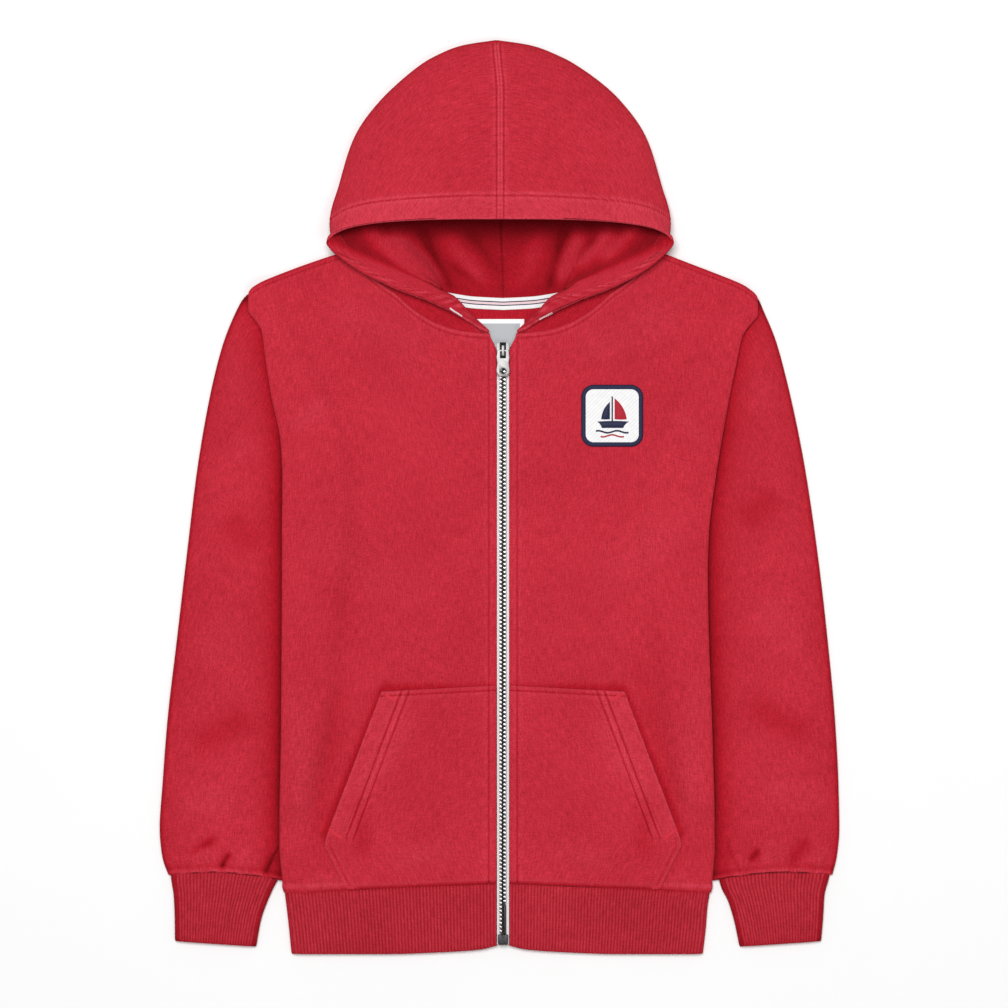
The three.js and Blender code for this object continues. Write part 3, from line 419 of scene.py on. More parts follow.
def cloth_wall(grid, thick=CLOTH, ring=False, rise=0.0, upper=slice(None), wear=0.0, inner_wear=-1.0, relief_shading_and_rub=1.0):
    """Points, faces, UVs and painted shading with fading of a cloth wall round a grid of points on its middle
    surface.

    ring closes the rows on themselves, rise lifts the outer face, and upper names the columns whose outer
    face looks up. Open edges are rounded over, and their rims painted lighter, a painted highlight with rubbing. The
    two
    shading arguments tint the two faces: below 0 painted shade with deeper red, above 0 painted highlight with faded
    cloth. The last argument paints raised places lighter and grooves darker by their rise, as painted highlight and
    shade."""
    rows, cols = grid.shape[:2]
    rise = np.broadcast_to(rise, (rows, cols))
    half = thick / 2
    along = np.gradient(grid, axis=0)
    if ring:
        across = np.roll(grid, -1, axis=1) - np.roll(grid, 1, axis=1)
        step = np.linalg.norm(np.roll(grid, -1, axis=1) - grid, axis=-1)
    else:
        across = np.gradient(grid, axis=1)
        step = np.linalg.norm(np.diff(grid, axis=1), axis=-1)
    normal = unit(np.cross(across, along))
    outwards = (normal * (grid - grid.mean(axis=1, keepdims=True))).sum() if ring else normal[:, upper, 2].sum()
    normal = normal * (1 if outwards > 0 else -1)
    u = np.concatenate([np.zeros((rows, 1)), np.cumsum(step, axis=1)], axis=1)
    width = u.shape[1]
    row_steps = np.linalg.norm(np.diff(grid, axis=0), axis=-1).mean(axis=1)
    v = np.concatenate([[0], np.cumsum(row_steps)])[:, None]
    uv = np.stack([u - u[:, width // 2 : width // 2 + 1], np.broadcast_to(v, u.shape)], axis=-1)

    away = np.zeros_like(grid)
    away[0] -= unit(along[0])
    away[-1] += unit(along[-1])
    if ring:
        loops = [[(0, j) for j in range(width)], [(rows - 1, j) for j in reversed(range(width))]]
    else:
        away[:, 0] -= unit(across[:, 0])
        away[:, -1] += unit(across[:, -1])
        edge = [(0, j) for j in range(cols)] + [(i, cols - 1) for i in range(1, rows)]
        edge += [(rows - 1, j) for j in reversed(range(cols - 1))] + [(i, 0) for i in reversed(range(rows - 1))]
        loops = [edge]
    away = unit(away - (away * normal).sum(-1, keepdims=True) * normal)
    middle = grid - away * half * 0.9

    total = rows * cols
    points = [(middle + normal * (half + rise)[..., None]).reshape(-1, 3), (middle - normal * half).reshape(-1, 3)]
    # Painted shading: the outer face is painted lighter on raised places and darker in grooves, and the rounded rims
    # lighter still, as painted highlight and shade together with rubbing.
    outer_wear = np.broadcast_to(wear, (rows, cols)) + relief_shading_and_rub * rise
    edge_wear = outer_wear.ravel() + 0.7 * (relief_shading_and_rub > 0)
    shades = [outer_wear.ravel(), np.broadcast_to(inner_wear, (rows, cols)).ravel()]
    i, j = (k.ravel() for k in np.meshgrid(np.arange(rows - 1), np.arange(width - 1), indexing="ij"))
    corners = [(i, j), (i, j + 1), (i + 1, j + 1), (i + 1, j)]
    quads = np.stack([a * cols + b % cols for a, b in corners], axis=1)
    quad_uv = np.stack([a * width + b for a, b in corners], axis=1)
    faces, face_uv = [quads, quads[:, ::-1] + total], [quad_uv, quad_uv[:, ::-1]]
    count = 2 * total
    for loop in loops:
        i, j = np.array(loop).T
        ids, uv_ids = i * cols + j % cols, i * width + j
        at = ids[:-1]
        n, p, w = (part.reshape(-1, 3)[at] for part in (normal, middle, away))
        top = (half + rise).ravel()[at][:, None]
        rims = [ids]
        for angle in (math.pi / 4, math.pi / 2, 3 * math.pi / 4):
            reach = top if angle < math.pi / 2 else half
            points.append(p + n * reach * math.cos(angle) + w * half * 0.9 * math.sin(angle))
            shades.append(edge_wear[at])
            fresh = np.arange(count, count + len(at))
            rims.append(np.append(fresh, fresh[0]))
            count += len(at)
        rims.append(ids + total)
        for a, b in zip(rims[:-1], rims[1:]):
            faces.append(np.stack([a[1:], a[:-1], b[:-1], b[1:]], axis=1))
            face_uv.append(np.stack([uv_ids[1:], uv_ids[:-1], uv_ids[:-1], uv_ids[1:]], axis=1))
    points, faces, face_uv = np.concatenate(points), np.concatenate(faces), np.concatenate(face_uv)
    shades = np.concatenate(shades)
    a, b, c, d = (points[faces[:, k]] for k in range(4))
    if (a * (np.cross(b, c) + np.cross(c, d))).sum() < 0:
        faces, face_uv = faces[:, ::-1], face_uv[:, ::-1]
    return points, faces, uv.reshape(-1, 2)[face_uv] * MM, shades


def unit(vectors):
    return vectors / np.maximum(np.linalg.norm(vectors, axis=-1, keepdims=True), 1e-9)


def sew(name, grid, slot, material, replaces=(), body="garment", **how):
    """A cloth piece made from its grid, riding on its body."""
    points, faces, uvs, shades = cloth_wall(grid, **how)
    piece = mesh_object(name, to_metres(points), faces.tolist(), uvs, material, shades)
    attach(piece, body)
    if replaces:
        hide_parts(*replaces)
    return piece


# Sleeves, cuffs and hem


def even_rows(table, step):
    """Stations in a table of sections, an even length apart along its outer edge."""
    index = np.arange(len(table))
    fine = np.linspace(0, len(table) - 1, 400)
    line = through(index, table[:, :2], fine)
    run = np.concatenate([[0], np.cumsum(np.linalg.norm(np.diff(line, axis=0), axis=1))])
    return np.interp(np.linspace(0, run[-1], int(run[-1] / step) + 1), run, fine)


def tube(outer, inner, w, face, heights, folds):
    """Points round a flattened tube: w is the share of the way across, and face 1 above and -1 below."""
    width = np.linalg.norm(outer - inner, axis=1)[:, None]
    middle, high, low = heights
    from_outer, from_inner = w * width, (1 - w) * width
    soft = np.minimum(quarter_turn(from_outer / folds[0]), quarter_turn(from_inner / folds[1]))
    tight = quarter_turn(np.minimum(from_outer, from_inner) / FOLD)
    z = np.where(face > 0, mix(middle, high, soft), mix(middle, low, tight))
    flat = mix(outer[:, None, :], inner[:, None, :], w[None, :, None])
    return np.concatenate([flat, z[..., None]], axis=-1)


# Creases on the sleeves: x, y to x, y, rise, width
SLEEVE_CREASES = {
    -1: [
        (-233, 449, -204, 431, 0.5, 5), (-236, 424, -220, 436, 0.4, 4), (-268, 88, -246, 104, -1.1, 4),
        (-243, 76, -234, 91, -1.5, 3), (-230, 74, -214, 92, 1.0, 6), (-262, 76, -256, 96, 0.9, 6),
        (-206, 72, -196, 90, -0.8, 4), (-222, 300, -262, 250, 0.5, 16), (-246, 520, -214, 480, 0.5, 14),
        (-212, 210, -268, 180, -0.5, 14), (-226, 140, -284, 128, 0.5, 12), (-240, 380, -210, 350, -0.4, 14),
    ],
    1: [
        (212, 82, 220, 94, -1.3, 4), (226, 76, 236, 100, 0.9, 7), (246, 80, 262, 104, -0.7, 6),
        (268, 78, 274, 96, 0.7, 5), (198, 72, 206, 88, 0.8, 5), (222, 310, 256, 262, 0.5, 16),
        (234, 500, 206, 470, 0.5, 14), (206, 220, 266, 190, -0.5, 14), (222, 150, 280, 132, 0.5, 12),
        (236, 400, 204, 372, -0.4, 14),
    ],
}


def sleeve_grid(side):
    last = len(SLEEVE) - 1
    s = even_rows(SLEEVE, 3.4)
    s = np.concatenate([s[:-4], np.linspace(s[-4], s[-1], 11)])
    index = np.arange(len(SLEEVE))
    row = through(index, SLEEVE, s)
    outer = np.stack([side * (row[:, pick(side)] - CLOTH / 2), row[:, 0]], axis=1)
    inner_x = side_edge(row[:, 3], side) - row[:, 4] + CLOTH / 2
    inner = np.stack([side * inner_x, row[:, 3]], axis=1)
    fold = np.array([0, 0.004, 0.012, 0.022])
    upper = np.concatenate([fold, np.linspace(0.035, 0.965, 46), 1 - fold[::-1]])
    under = np.concatenate([fold[1:], np.linspace(0.05, 0.95, 20), 1 - fold[:0:-1]])[::-1]
    w = np.concatenate([upper, under])
    face = np.concatenate([np.ones(len(upper)), -np.ones(len(under))])
    free = smooth_step(175, 120, row[:, 3:4])
    flat_x = mix(outer[:, :1], inner[:, :1], w)
    flat_y = mix(outer[:, 1:], inner[:, 1:], w)
    next_to = np.abs(flat_x) - side_edge(flat_y, side)
    from_outer = w * np.linalg.norm(outer - inner, axis=1)[:, None]
    puff = SLEEVE_PUFF * smooth_step(4, 30, next_to) * smooth_step(0, 24, from_outer)
    high = SLEEVE_FLAT + puff - CLOTH / 2
    grid = tube(outer, inner, w, face, (SLEEVE_FLAT / 2, high, CLOTH / 2), (26, mix(FOLD, 16, free)))
    bow = np.sin(np.pi * w)
    share = s[:, None] / last
    grid[..., 1] += CUFF_SEAM_BOW * bow * smooth_step(0.83, 1, share)
    grid[..., 0] -= side * CAP * bow * (1 - smooth_step(0.15, 0.37, share))
    x, y = grid[..., 0], grid[..., 1]
    from_cuff = grid[..., 1] - grid[-1:, :, 1]
    gathers = 0.45 * np.sin(x / 1.75 + 2.2 * np.sin(x / 9)) * np.exp(-from_cuff / 9)
    fade = np.minimum(1, np.minimum(w, 1 - w) / 0.1)
    loose = (1.5 * creases(SLEEVE_CREASES[side], x, y) + gathers) * fade
    seam = to_line(x, y, [(side * 193.5, 94.6), (side * 204.5, 72.2)])
    welt = 0.5 * np.exp(-((from_cuff - 2.6) / 1.8) ** 2) * fade
    grid[..., 2] += np.where(face > 0, loose + welt + groove(seam, 0.6), 0)
    # Painted shadow of the body's edge on the sleeve beside it, and painted shade in the cuff seam.
    wear = -2.3 * np.exp(-np.maximum(next_to, 0) / 9.5) * (face > 0) - 0.9 * np.exp(-((seam / 0.9) ** 2)) * (face > 0)
    # Crease ridges painted lighter and troughs darker, as painted highlight and shade.
    wear = wear + 0.35 * np.minimum(loose, 0.6) * (face > 0) + 0.6 * np.minimum(loose, 0) * (face > 0)
    # A painted highlight on the welt above the cuff seam, with painted shade above it.
    wear = wear + 0.7 * np.exp(-((from_cuff - 2.2) / 1.0) ** 2) - 0.5 * np.exp(-((from_cuff - 6) / 2.0) ** 2)
    # Painted shade along the sleeve's outer edge, where the cloth turns away from the light.
    wear = wear - 1.0 * np.exp(-((from_outer / 2.2) ** 2)) - 0.4 * np.exp(-from_outer / 12)
    return grid, wear


def rib_wave(turns):
    """Height of a rounded rib, one for each whole turn."""
    return np.abs(np.sin(np.pi * turns)) ** 0.75


CUFF_CREASES = {
    -1: [(-233, 50, -236.5, 20, -1.5, 3.2), (-226, 48, -230, 26, 0.8, 4), (-243, 48, -242, 26, 0.7, 4)],
    1: [(228, 56, 232, 30, -0.6, 4), (252, 58, 250, 34, 0.5, 5)],
}


def cuff_grid(side):
    index = np.arange(len(CUFF))
    s = even_rows(CUFF, 2.6)
    row = through(index, CUFF, s)
    half = RIB / 2 + 0.5
    outer = np.stack([side * (row[:, pick(side)] - half), row[:, 0]], axis=1)
    inner = np.stack([side * (row[:, 4 if side < 0 else 5] + half), row[:, 3]], axis=1)
    edge = np.array([0, 0.006, 0.014, 0.025])
    ribs = np.linspace(0.035, 0.965, CUFF_RIBS * 6 + 1)
    upper = np.concatenate([edge, ribs, 1 - edge[::-1]])
    under = np.concatenate([edge[1:], ribs[::2], 1 - edge[:0:-1]])[::-1]
    w = np.concatenate([upper, under])
    face = np.concatenate([np.ones(len(upper)), -np.ones(len(under))])
    t = s[:, None] / (len(CUFF) - 1)
    high = mix(CUFF_HEIGHT - 0.6, CUFF_HEIGHT, smooth_step(0, 0.2, t)) - RIB / 2
    high = high - 1.1 * (1 - quarter_turn((1 - t) * 60 / 12))
    high = high - 1.5 * (1 - smooth_step(0, 0.07, t))
    grid = tube(outer, inner, w, face, (CUFF_HEIGHT / 2, high, RIB / 2), (19, 15))
    grid[..., 1] += CUFF_SEAM_BOW * np.sin(np.pi * w) * (1 - smooth_step(0, 0.6, t))
    x, y = grid[..., 0], grid[..., 1]
    fade = np.minimum(1, np.minimum(w, 1 - w) / 0.1)
    grid[..., 2] += np.where(face > 0, creases(CUFF_CREASES[side], x, y) * fade, 0)
    turns = (w - 0.035) / 0.93 * CUFF_RIBS
    inside = (w >= 0.034) & (w <= 0.966)
    rise = np.where(inside, RIB_RISE * rib_wave(turns), RIB_RISE * 0.4)
    start = 0.35 + 0.65 * smooth_step(0, 0.08, t)
    sides = np.minimum(w, 1 - w) * np.linalg.norm(outer - inner, axis=1)[:, None]
    # Painted shade at the cuff's folded sides and its open end, and on the next line along the seam.
    wear = RIB_SHADING_AND_WEAR["wear"] - 0.9 * np.exp(-((sides / 2.5) ** 2)) - 0.5 * np.exp(-(((1 - t) * 60 / 2.5) ** 2))
    wear = wear - 0.4 * np.exp(-((t * 60 / 1.8) ** 2))
    return grid, rise * start, wear


HEM_CREASES = [
    (-160, 56, -120, 50, 0.7, 5), (-112, 54, -60, 51, 0.5, 4), (-52, 56, -20, 50, 0.4, 4),
    (24, 56, 70, 51, 0.5, 4), (84, 54, 132, 47, 0.8, 6), (138, 50, 168, 46, 0.5, 5),
    (-134, 58, -150, 34, 0.5, 8), (110, 56, 128, 30, 0.5, 9),
]


def hem_grid():
    """One band from one edge of the zip, round the body, to the other."""
    low = RIB / 2
    ribs = int(round((SIDE_EDGE[-1, 1] - ZIP_EDGE) / RIB_PITCH))
    front = np.linspace(0, 1, ribs * 6 + 1)
    back_ribs = 2 * ribs
    back = np.linspace(-1, 1, back_ribs * 3 + 1)
    angles = np.linspace(0, 1, 11)[1:-1]
    down = graded(np.array([0, 0.035, 0.08]), 0.82, 0.06)
    down = np.concatenate([down, [0.88, 0.93, 0.97, 1.0]])[:, None]
    drop = 1 - quarter_turn((1 - down) * 56 / 18)

    def front_z(out):
        return CLOTH * 1.5 + AIR + ZIP_RISE * zip_rise(out)

    def reach(side):
        width = through(HEM_SIDE[:, 0], HEM_SIDE[:, pick(side)], down)
        return width - RIB / 2 - 0.5 - (front_z(100) - low) / 2

    def strip(x, z, on_back=False):
        x, z = np.broadcast_arrays(x, z)
        top = np.full(x.shape, float(HEM_SEAM_SIDE_Y)) if on_back else hem_seam_y(x)
        y = mix(top + 1.2, through(HEM_EDGE[:, 0], HEM_EDGE[:, 1], np.abs(x)), down)
        return np.stack([x, y, z], axis=-1)

    parts, rises = [], []
    for side in (-1, 1):
        x = side * mix(ZIP_EDGE, reach(side), front[None, :])
        z = front_z(np.abs(x)) - (front_z(np.abs(x)) - low - RIB - 0.1) * 0.75 * drop
        z = z - 1.2 * (1 - quarter_turn((1 - front[None, :]) * 175 / 13)) * (1 - drop)
        sheet = strip(x, z - 1.0 * (1 - smooth_step(0, 0.07, down)))
        sheet[..., 2] += creases(HEM_CREASES, sheet[..., 0], sheet[..., 1]) * (1 - drop)
        fronts = sheet, RIB_RISE * rib_wave(front * ribs)
        radius = (sheet[:, -1:, 2] - low) / 2
        centre = side * reach(side)
        half_turn = np.pi * angles
        turned = strip(centre + side * radius * np.sin(half_turn), low + radius + radius * np.cos(half_turn))
        sides = turned, np.full(len(angles), RIB_RISE * 0.5)
        if side < 0:
            parts += [fronts[0], sides[0]]
            rises += [fronts[1], sides[1]]
            parts.append(strip(np.where(back[None, :] < 0, reach(-1) * back, reach(1) * back), low, on_back=True))
            rises.append(RIB_RISE * rib_wave((back + 1) / 2 * back_ribs) * 0.5)
        else:
            parts += [sides[0][:, ::-1], fronts[0][:, ::-1]]
            rises += [sides[1][::-1], fronts[1][::-1]]
    start = 0.3 + 0.7 * smooth_step(0, 0.06, down)
    # Painted shade along the hem seam at the rib's top and along its lower edge.
    wear = RIB_SHADING_AND_WEAR["wear"] - 1.2 * np.exp(-((down / 0.03) ** 2)) - 0.4 * np.exp(-(((1 - down) / 0.04) ** 2))
    return np.concatenate(parts, axis=1), np.concatenate(rises)[None, :] * start, wear


# Hood


def neck_seam(distance):
    """Places where the hood meets the neckline, by distance round it from the middle of the back."""
    distance = np.asarray(distance, float)
    on_back = distance <= NECK_POINT_X
    out = np.where(on_back, distance, 2 * NECK_POINT_X - distance)
    points = []
    for layer in ("back", "front"):
        y = top_edge(np.minimum(out, NECK_POINT_X), -1, layer)
        slope = (top_edge(out + 0.2, -1, layer) - top_edge(np.maximum(out - 0.2, 0), -1, layer)) / 0.4
        away = unit(np.stack([slope, np.ones_like(slope)], axis=-1))
        corner = np.hypot(out - NECK_POINT_X, y - NECK_POINT_Y)
        stack = back_height(out, y, -1) + (CLOTH + AIR) / 2
        if layer == "back":
            z = mix(stack, back_height(out, y, -1), quarter_turn(corner / FOLD))
        else:
            z = mix(stack, front_height(out, y, -1), quarter_turn(corner / SOFT_FOLD)) - 0.9
        room = -1.0 + NECK_CORNER_ROOM * np.maximum(0, 1 - np.abs(distance - NECK_POINT_X) / NECK_CORNER)
        points.append(np.stack([-out + away[..., 0] * room, y + away[..., 1] * room, z], axis=-1))
    return np.where(on_back[..., None], points[0], points[1])


def hood_section(k):
    """The ten places that one hood section runs through, from the rim to the neck seam."""
    row = HOOD[k]
    rim = np.array([-row["rim"][0], *row["rim"][1:]], float)
    neck = neck_seam(np.array([row["back"]]))[0]
    inner = np.array([-row["in"][0], row["in"][1], row["in"][2]], float)
    radius = row["in"][3]
    flat = np.array([1, 1, 0])
    outwards = unit((rim - inner) * flat)
    high = inner + outwards * radius + [0, 0, radius]
    low = inner + outwards * radius - [0, 0, radius]
    if "out" in row:
        out = np.array([-row["out"][0], row["out"][1], row["out"][2]], float)
        fold = row["out"][3]
        back = unit((rim - out) * flat)
        out_high = out + back * fold + [0, 0, fold]
        out_low = out + back * fold - [0, 0, fold]
        dome = HOOD_DOME * min(1, np.linalg.norm(rim - out) / HOOD_DOME_REACH)
        middle = mix(rim, out_high, 0.5) + [0, 0, dome]
        under = mix(out_low, high if radius else neck, 0.5)
        under[2] = min(under[2], out_low[2])
        upper = [rim, middle, out_high, out, out_low, under]
    else:
        shares = CORNER_SHARES if k == HOOD_CORNER else LAPEL_SHARES
        upper = [rim, *(mix(rim, high, t) for t in shares)]
    if radius:
        return np.array([*upper, high, inner, low, neck])
    start = upper[-1]
    return np.array([*upper, *(mix(start, neck, t) for t in (0.45, 0.7, 0.85)), neck])


# Folds inside the hood, in distances from the zip line: x, y to x, y, rise, width
INSIDE_CREASES = {
    -1: [
        (95, 624, 52, 574, 4.6, 9), (70, 628, 43, 570, -2.6, 4.5), (52, 626, 14, 574, 2.4, 9),
        (50, 600, 18, 574, -1.5, 3.5), (122, 632, 70, 588, 3.2, 8), (30, 626, 4, 588, -0.9, 6),
    ],
    1: [
        (72, 626, 46, 580, 4.2, 7.5), (58, 630, 38, 570, -2.6, 4.5), (98, 628, 64, 594, 4.0, 6.5),
        (84, 620, 62, 598, -2.6, 3.5), (122, 632, 84, 598, 3.2, 7), (40, 626, 10, 574, 2.0, 9),
        (24, 600, 8, 580, -0.8, 5),
    ],
}
CROWN_CREASES = {
    -1: [(100, 668, 50, 690, 0.7, 8), (110, 690, 66, 664, -0.6, 7), (60, 720, 24, 660, 0.5, 12)],
    1: [(28, 706, 44, 676, -0.8, 9), (52, 674, 18, 682, 0.6, 7), (110, 700, 60, 668, 0.5, 10)],
}


def hood_grid(side):
    index = np.arange(len(HOOD))
    sections = np.array([hood_section(k) for k in index])
    s = np.concatenate([np.arange(0, 0.6, 0.03), np.arange(0.6, 12, 0.09), [12]])
    places = np.concatenate([
        np.linspace(0, 0.42, 26), np.linspace(0.46, 1.9, 34), np.linspace(1.96, 4.05, 24),
        np.linspace(4.12, 6, 34), np.linspace(6.1, 9, 22),
    ])
    at_rows = through(index, sections.reshape(len(HOOD), -1), s).reshape(len(s), 10, 3)
    at_rows[:, -1] = neck_seam(through(index, [row["back"] for row in HOOD], s))
    columns = at_rows.transpose(1, 0, 2).reshape(10, -1)
    grid = through(np.arange(10), columns, places).reshape(len(places), len(s), 3).transpose(1, 0, 2)
    lean = HOOD_LEAN * smooth_step(570, 612, grid[..., 1]) + CROWN_LEAN * smooth_step(740, 788, grid[..., 1])
    x = np.abs(grid[..., 0])
    inside = smooth_step(4.1, 4.8, places) * (1 - smooth_step(8, 8.9, places))
    inside = inside * (1 - smooth_step(6.2, 7.2, s))[:, None]
    inside = inside * np.where(places > 6, (1 - smooth_step(4.2, 5.6, s))[:, None], 1)
    on_top = np.clip(places / 0.3, 0, 1) * (1 - smooth_step(1.7, 2, places)) * (s[:, None] < 7)
    folds = inside * creases(INSIDE_CREASES[side], x, grid[..., 1])
    grid[..., 2] += np.where(folds > 0, 1.3, 0.35) * folds
    grid[..., 2] += on_top * creases(CROWN_CREASES[side], x, grid[..., 1])
    grid[..., 0] += lean * (1 - smooth_step(5, 8, places)) * -side + HOOD_LAP * (1 - smooth_step(0, 5, s[:, None]))
    grid[..., 0] *= -side
    run = np.linalg.norm(np.diff(grid, axis=1), axis=-1)
    from_rim = np.concatenate([np.zeros((len(s), 1)), np.cumsum(run, axis=1)], axis=1)
    band = mix(22.5, 17.5, smooth_step(4.5, 8, s))[:, None]
    rise = 0.55 * (1 - smooth_step(band - 0.8, band + 1.2, from_rim)) + groove(from_rim - band + 2, 0.6)
    centre = np.abs(grid[..., 0] - grid[:1, :, 0]) - HOOD_LAP
    lapped = 1 - smooth_step(-0.9, 0.1, centre)
    ridge = 0.4 * (1 - smooth_step(2.2, 3.4, centre)) + groove(centre - 2.8, 0.8)
    ridge = ridge - 0.35 * np.exp(-((centre / 0.7) ** 2))
    near_seam = s[:, None] < 1.2
    rise = rise + ridge * near_seam * (places < 2.2) - 1.4 * lapped * near_seam * (places < 4)
    down_seam = near_seam * smooth_step(4.0, 4.3, places) * (1 - smooth_step(8.6, 9, places))
    inner_ridge = 0.5 * (1 - smooth_step(3, 5, centre)) - 0.8 * np.exp(-((centre / 0.9) ** 2))
    grid[..., 2] += down_seam * (inner_ridge - 1.2 * lapped)
    walk = np.concatenate([[0], np.cumsum(np.linalg.norm(np.diff(grid[:, 0], axis=0), axis=1))])[:, None]
    pucker = np.sin(walk / 1.9 + 1.6 * np.sin(walk / 7 + side)) * (0.4 + 0.6 * np.sin(walk / 11 + side) ** 2)
    lapel = smooth_step(6.7, 7.4, s)[:, None]
    relief = 0.6 * pucker * np.exp(-(((from_rim - band * 0.7) / 6) ** 2)) + groove(from_rim - band + 3, 0.8)
    relief = lapel * relief * (places < 6.4)
    grid[..., 2] += relief
    fold_run = np.interp(3.0, places, np.arange(len(places)))
    at_fold = from_rim - from_rim[:, int(round(fold_run)) : int(round(fold_run)) + 1]
    # Painted shade: a dark line along the crown's outer fold, with a wider, fainter darkening beside it.
    crown = (s[:, None] < 7.2) * (-1.3 * np.exp(-((at_fold / 2.0) ** 2)) - 0.25 * np.exp(-np.abs(at_fold) / 9))
    # Painted shadow on the hood's outside where it shows under the lapel, and a painted highlight along the rim.
    wear = crown - 0.9 * (places > 6.5) * lapel + 0.5 * np.exp(-((from_rim / 1.3) ** 2))
    # Painted shadow inside the hood under its raised rim.
    under_rim = 0.75 * smooth_step(598, 628, grid[..., 1]) * (places > 4)
    # Inside the hood, painted shade with deeper red, fold ridges painted lighter and troughs darker; on the lapel its
    # puckers and groove are painted as highlight and shade.
    inner_wear = mix(np.clip(-1.45 + 0.42 * folds - under_rim, -2.4, -0.3), -0.1 + 2.6 * relief, lapel)
    # Painted shade down the middle seam inside the hood and along the lapel's rim.
    inner_wear = inner_wear - 0.7 * down_seam * np.exp(-((centre / 1.1) ** 2))
    inner_wear = inner_wear - 0.9 * lapel * np.exp(-((from_rim / 1.6) ** 2))
    # Painted highlight on the middle seam's ridges, painted shade in the band's stitch groove, and a painted
    # highlight just past the band.
    seam_lines = ridge * near_seam * (places < 2.2)
    wear = wear + 2.2 * seam_lines + 2.8 * groove(from_rim - band + 2, 0.6) * (s[:, None] < 7.2)
    wear = wear + 0.4 * np.exp(-(((from_rim - band - 0.6) / 1.0) ** 2)) * (s[:, None] < 7.2)
    return grid, rise, band[:, 0], wear, inner_wear


# Pockets, patch, tapes


def front_top(x, y, side):
    """Height of a front's outer face."""
    return front_height(np.abs(x), y, side) + CLOTH / 2


def pocket_outer(y):
    """Distance of a pocket's outer edge from the zip line."""
    p = POCKET
    slant = mix(p["top_out"], p["corner_out"], (p["top"] - y) / (p["top"] - p["corner"]))
    lower = mix(p["corner_out"], p["bottom_out"], (p["corner"] - y) / (p["corner"] - p["bottom"]))
    return np.where(y > p["corner"], slant, lower)


POCKET_STITCHES = (17.6, 24.2)  # across, from the slanted edge to its two rows of stitches
POCKET_TOP_STITCH = 5.2
POCKET_CREASES = [(126, 142, 118, 82, -1.0, 8), (76, 214, 108, 150, 0.5, 9), (40, 96, 96, 80, 0.4, 10)]


def pocket_grid(side):
    p = POCKET
    from_outer = np.array([0, 1.4, 2.8, 4.4, 6.2, 8.2, 10.4, 12.6, 14.6, *beside(POCKET_STITCHES[0]),
                           21, *beside(POCKET_STITCHES[1]), 28, 30])
    from_zip = np.array([0, 1.4, 3, 4.2, *beside(FRONT_STITCH - 1), 9.2, 11])
    down = np.concatenate([[0, 1.4, 2.8], beside(POCKET_TOP_STITCH), np.arange(8.6, 121, 2.9)])
    down = np.concatenate([down, np.linspace(125.5, 161.5, 14), [163, 164]])
    y0 = p["top"] - down * (p["top"] - p["bottom"]) / 164 - 1.2
    outer = pocket_outer(y0)[:, None]
    left = outer - from_outer
    right = p["zip"] - 0.6 + from_zip[::-1]
    between = np.linspace(0, 1, 34)[1:-1]
    across = mix(left[:, -1:], right[None, :1], between[None, :])
    out = np.concatenate([left, across, np.broadcast_to(right, (len(y0), len(right)))], axis=1)
    share = (out - p["zip"]) / (p["top_out"] - p["zip"])
    down_share = (p["top"] - y0[:, None]) / (p["top"] - p["bottom"])
    top = mix(235.2, 230, np.clip(share, 0, 1.2))
    bottom = hem_seam_y(out) - 0.9
    y = mix(top, bottom, down_share)
    x = side * out
    from_edge = outer - out
    opening = np.sin(np.pi * np.clip(down_share * 1.2, 0, 1)) * (1 - smooth_step(0, 70, from_edge))
    z = front_top(x, y, side) + 0.15 + CLOTH / 2 + p["puff"] * opening
    z = z + creases(POCKET_CREASES, out, y) * smooth_step(0, 12, out - p["zip"])
    z = z + 0.5 * np.exp(-((y - bottom - 5) / 3.0) ** 2) - 2.2 * np.exp(-((y - bottom) / 2.9) ** 2)
    fade = 1 - smooth_step(108, 101, y)
    rise = (groove(from_edge - POCKET_STITCHES[0]) + groove(from_edge - POCKET_STITCHES[1])) * fade
    rise = rise + groove(top - y - POCKET_TOP_STITCH) + groove(out - ZIP_EDGE - FRONT_STITCH)
    rise = rise + groove(from_edge - 5) * (1 - fade)
    band = 0.35 * (1 - smooth_step(POCKET_STITCHES[0] - 2, POCKET_STITCHES[0], from_edge)) * fade
    # Painted shading: stitch grooves darker and their ridges lighter, painted shade along the pocket's foot with a
    # painted highlight above it, painted highlights along the open edge and between the stitch rows, and creases
    # painted by their rise.
    wear = 2.6 * rise - 0.1 * band - 1.5 * np.exp(-((y - bottom - 1.4) / 0.9) ** 2)
    wear = wear + 0.6 * np.exp(-((y - bottom - 3.4) / 1.1) ** 2) + 0.6 * np.exp(-((from_edge / 1.2) ** 2))
    wear = wear + 0.4 * np.exp(-(((from_edge - sum(POCKET_STITCHES) / 2) / 1.4) ** 2)) * fade
    return np.stack([x, y, z], axis=-1), rise + band, wear + 0.6 * creases(POCKET_CREASES, out, y)


def front_rise(grid):
    """Stitch lines and seam swells of a front, on its outer face."""
    out, y = np.abs(grid[..., 0]), grid[..., 1]
    side = -1 if grid[0, 0, 0] < 0 else 1
    top = top_edge(np.minimum(out, 218), side, "front")
    rise = groove(out - ZIP_EDGE - FRONT_STITCH) * smooth_step(535, 529, y)
    rise = rise + groove(top - y - NECK_STITCH, 0.5) * smooth_step(8, 20, out)
    rise = rise + 0.5 * np.exp(-(((top - y - 1.5) / 1.6) ** 2)) * (1 - smooth_step(110, 124, out))
    above_hem = y - hem_seam_y(out)
    return rise + 0.8 * np.exp(-((above_hem - 3.6) / 2.4) ** 2) - 0.6 * np.exp(-(above_hem / 1.8) ** 2)


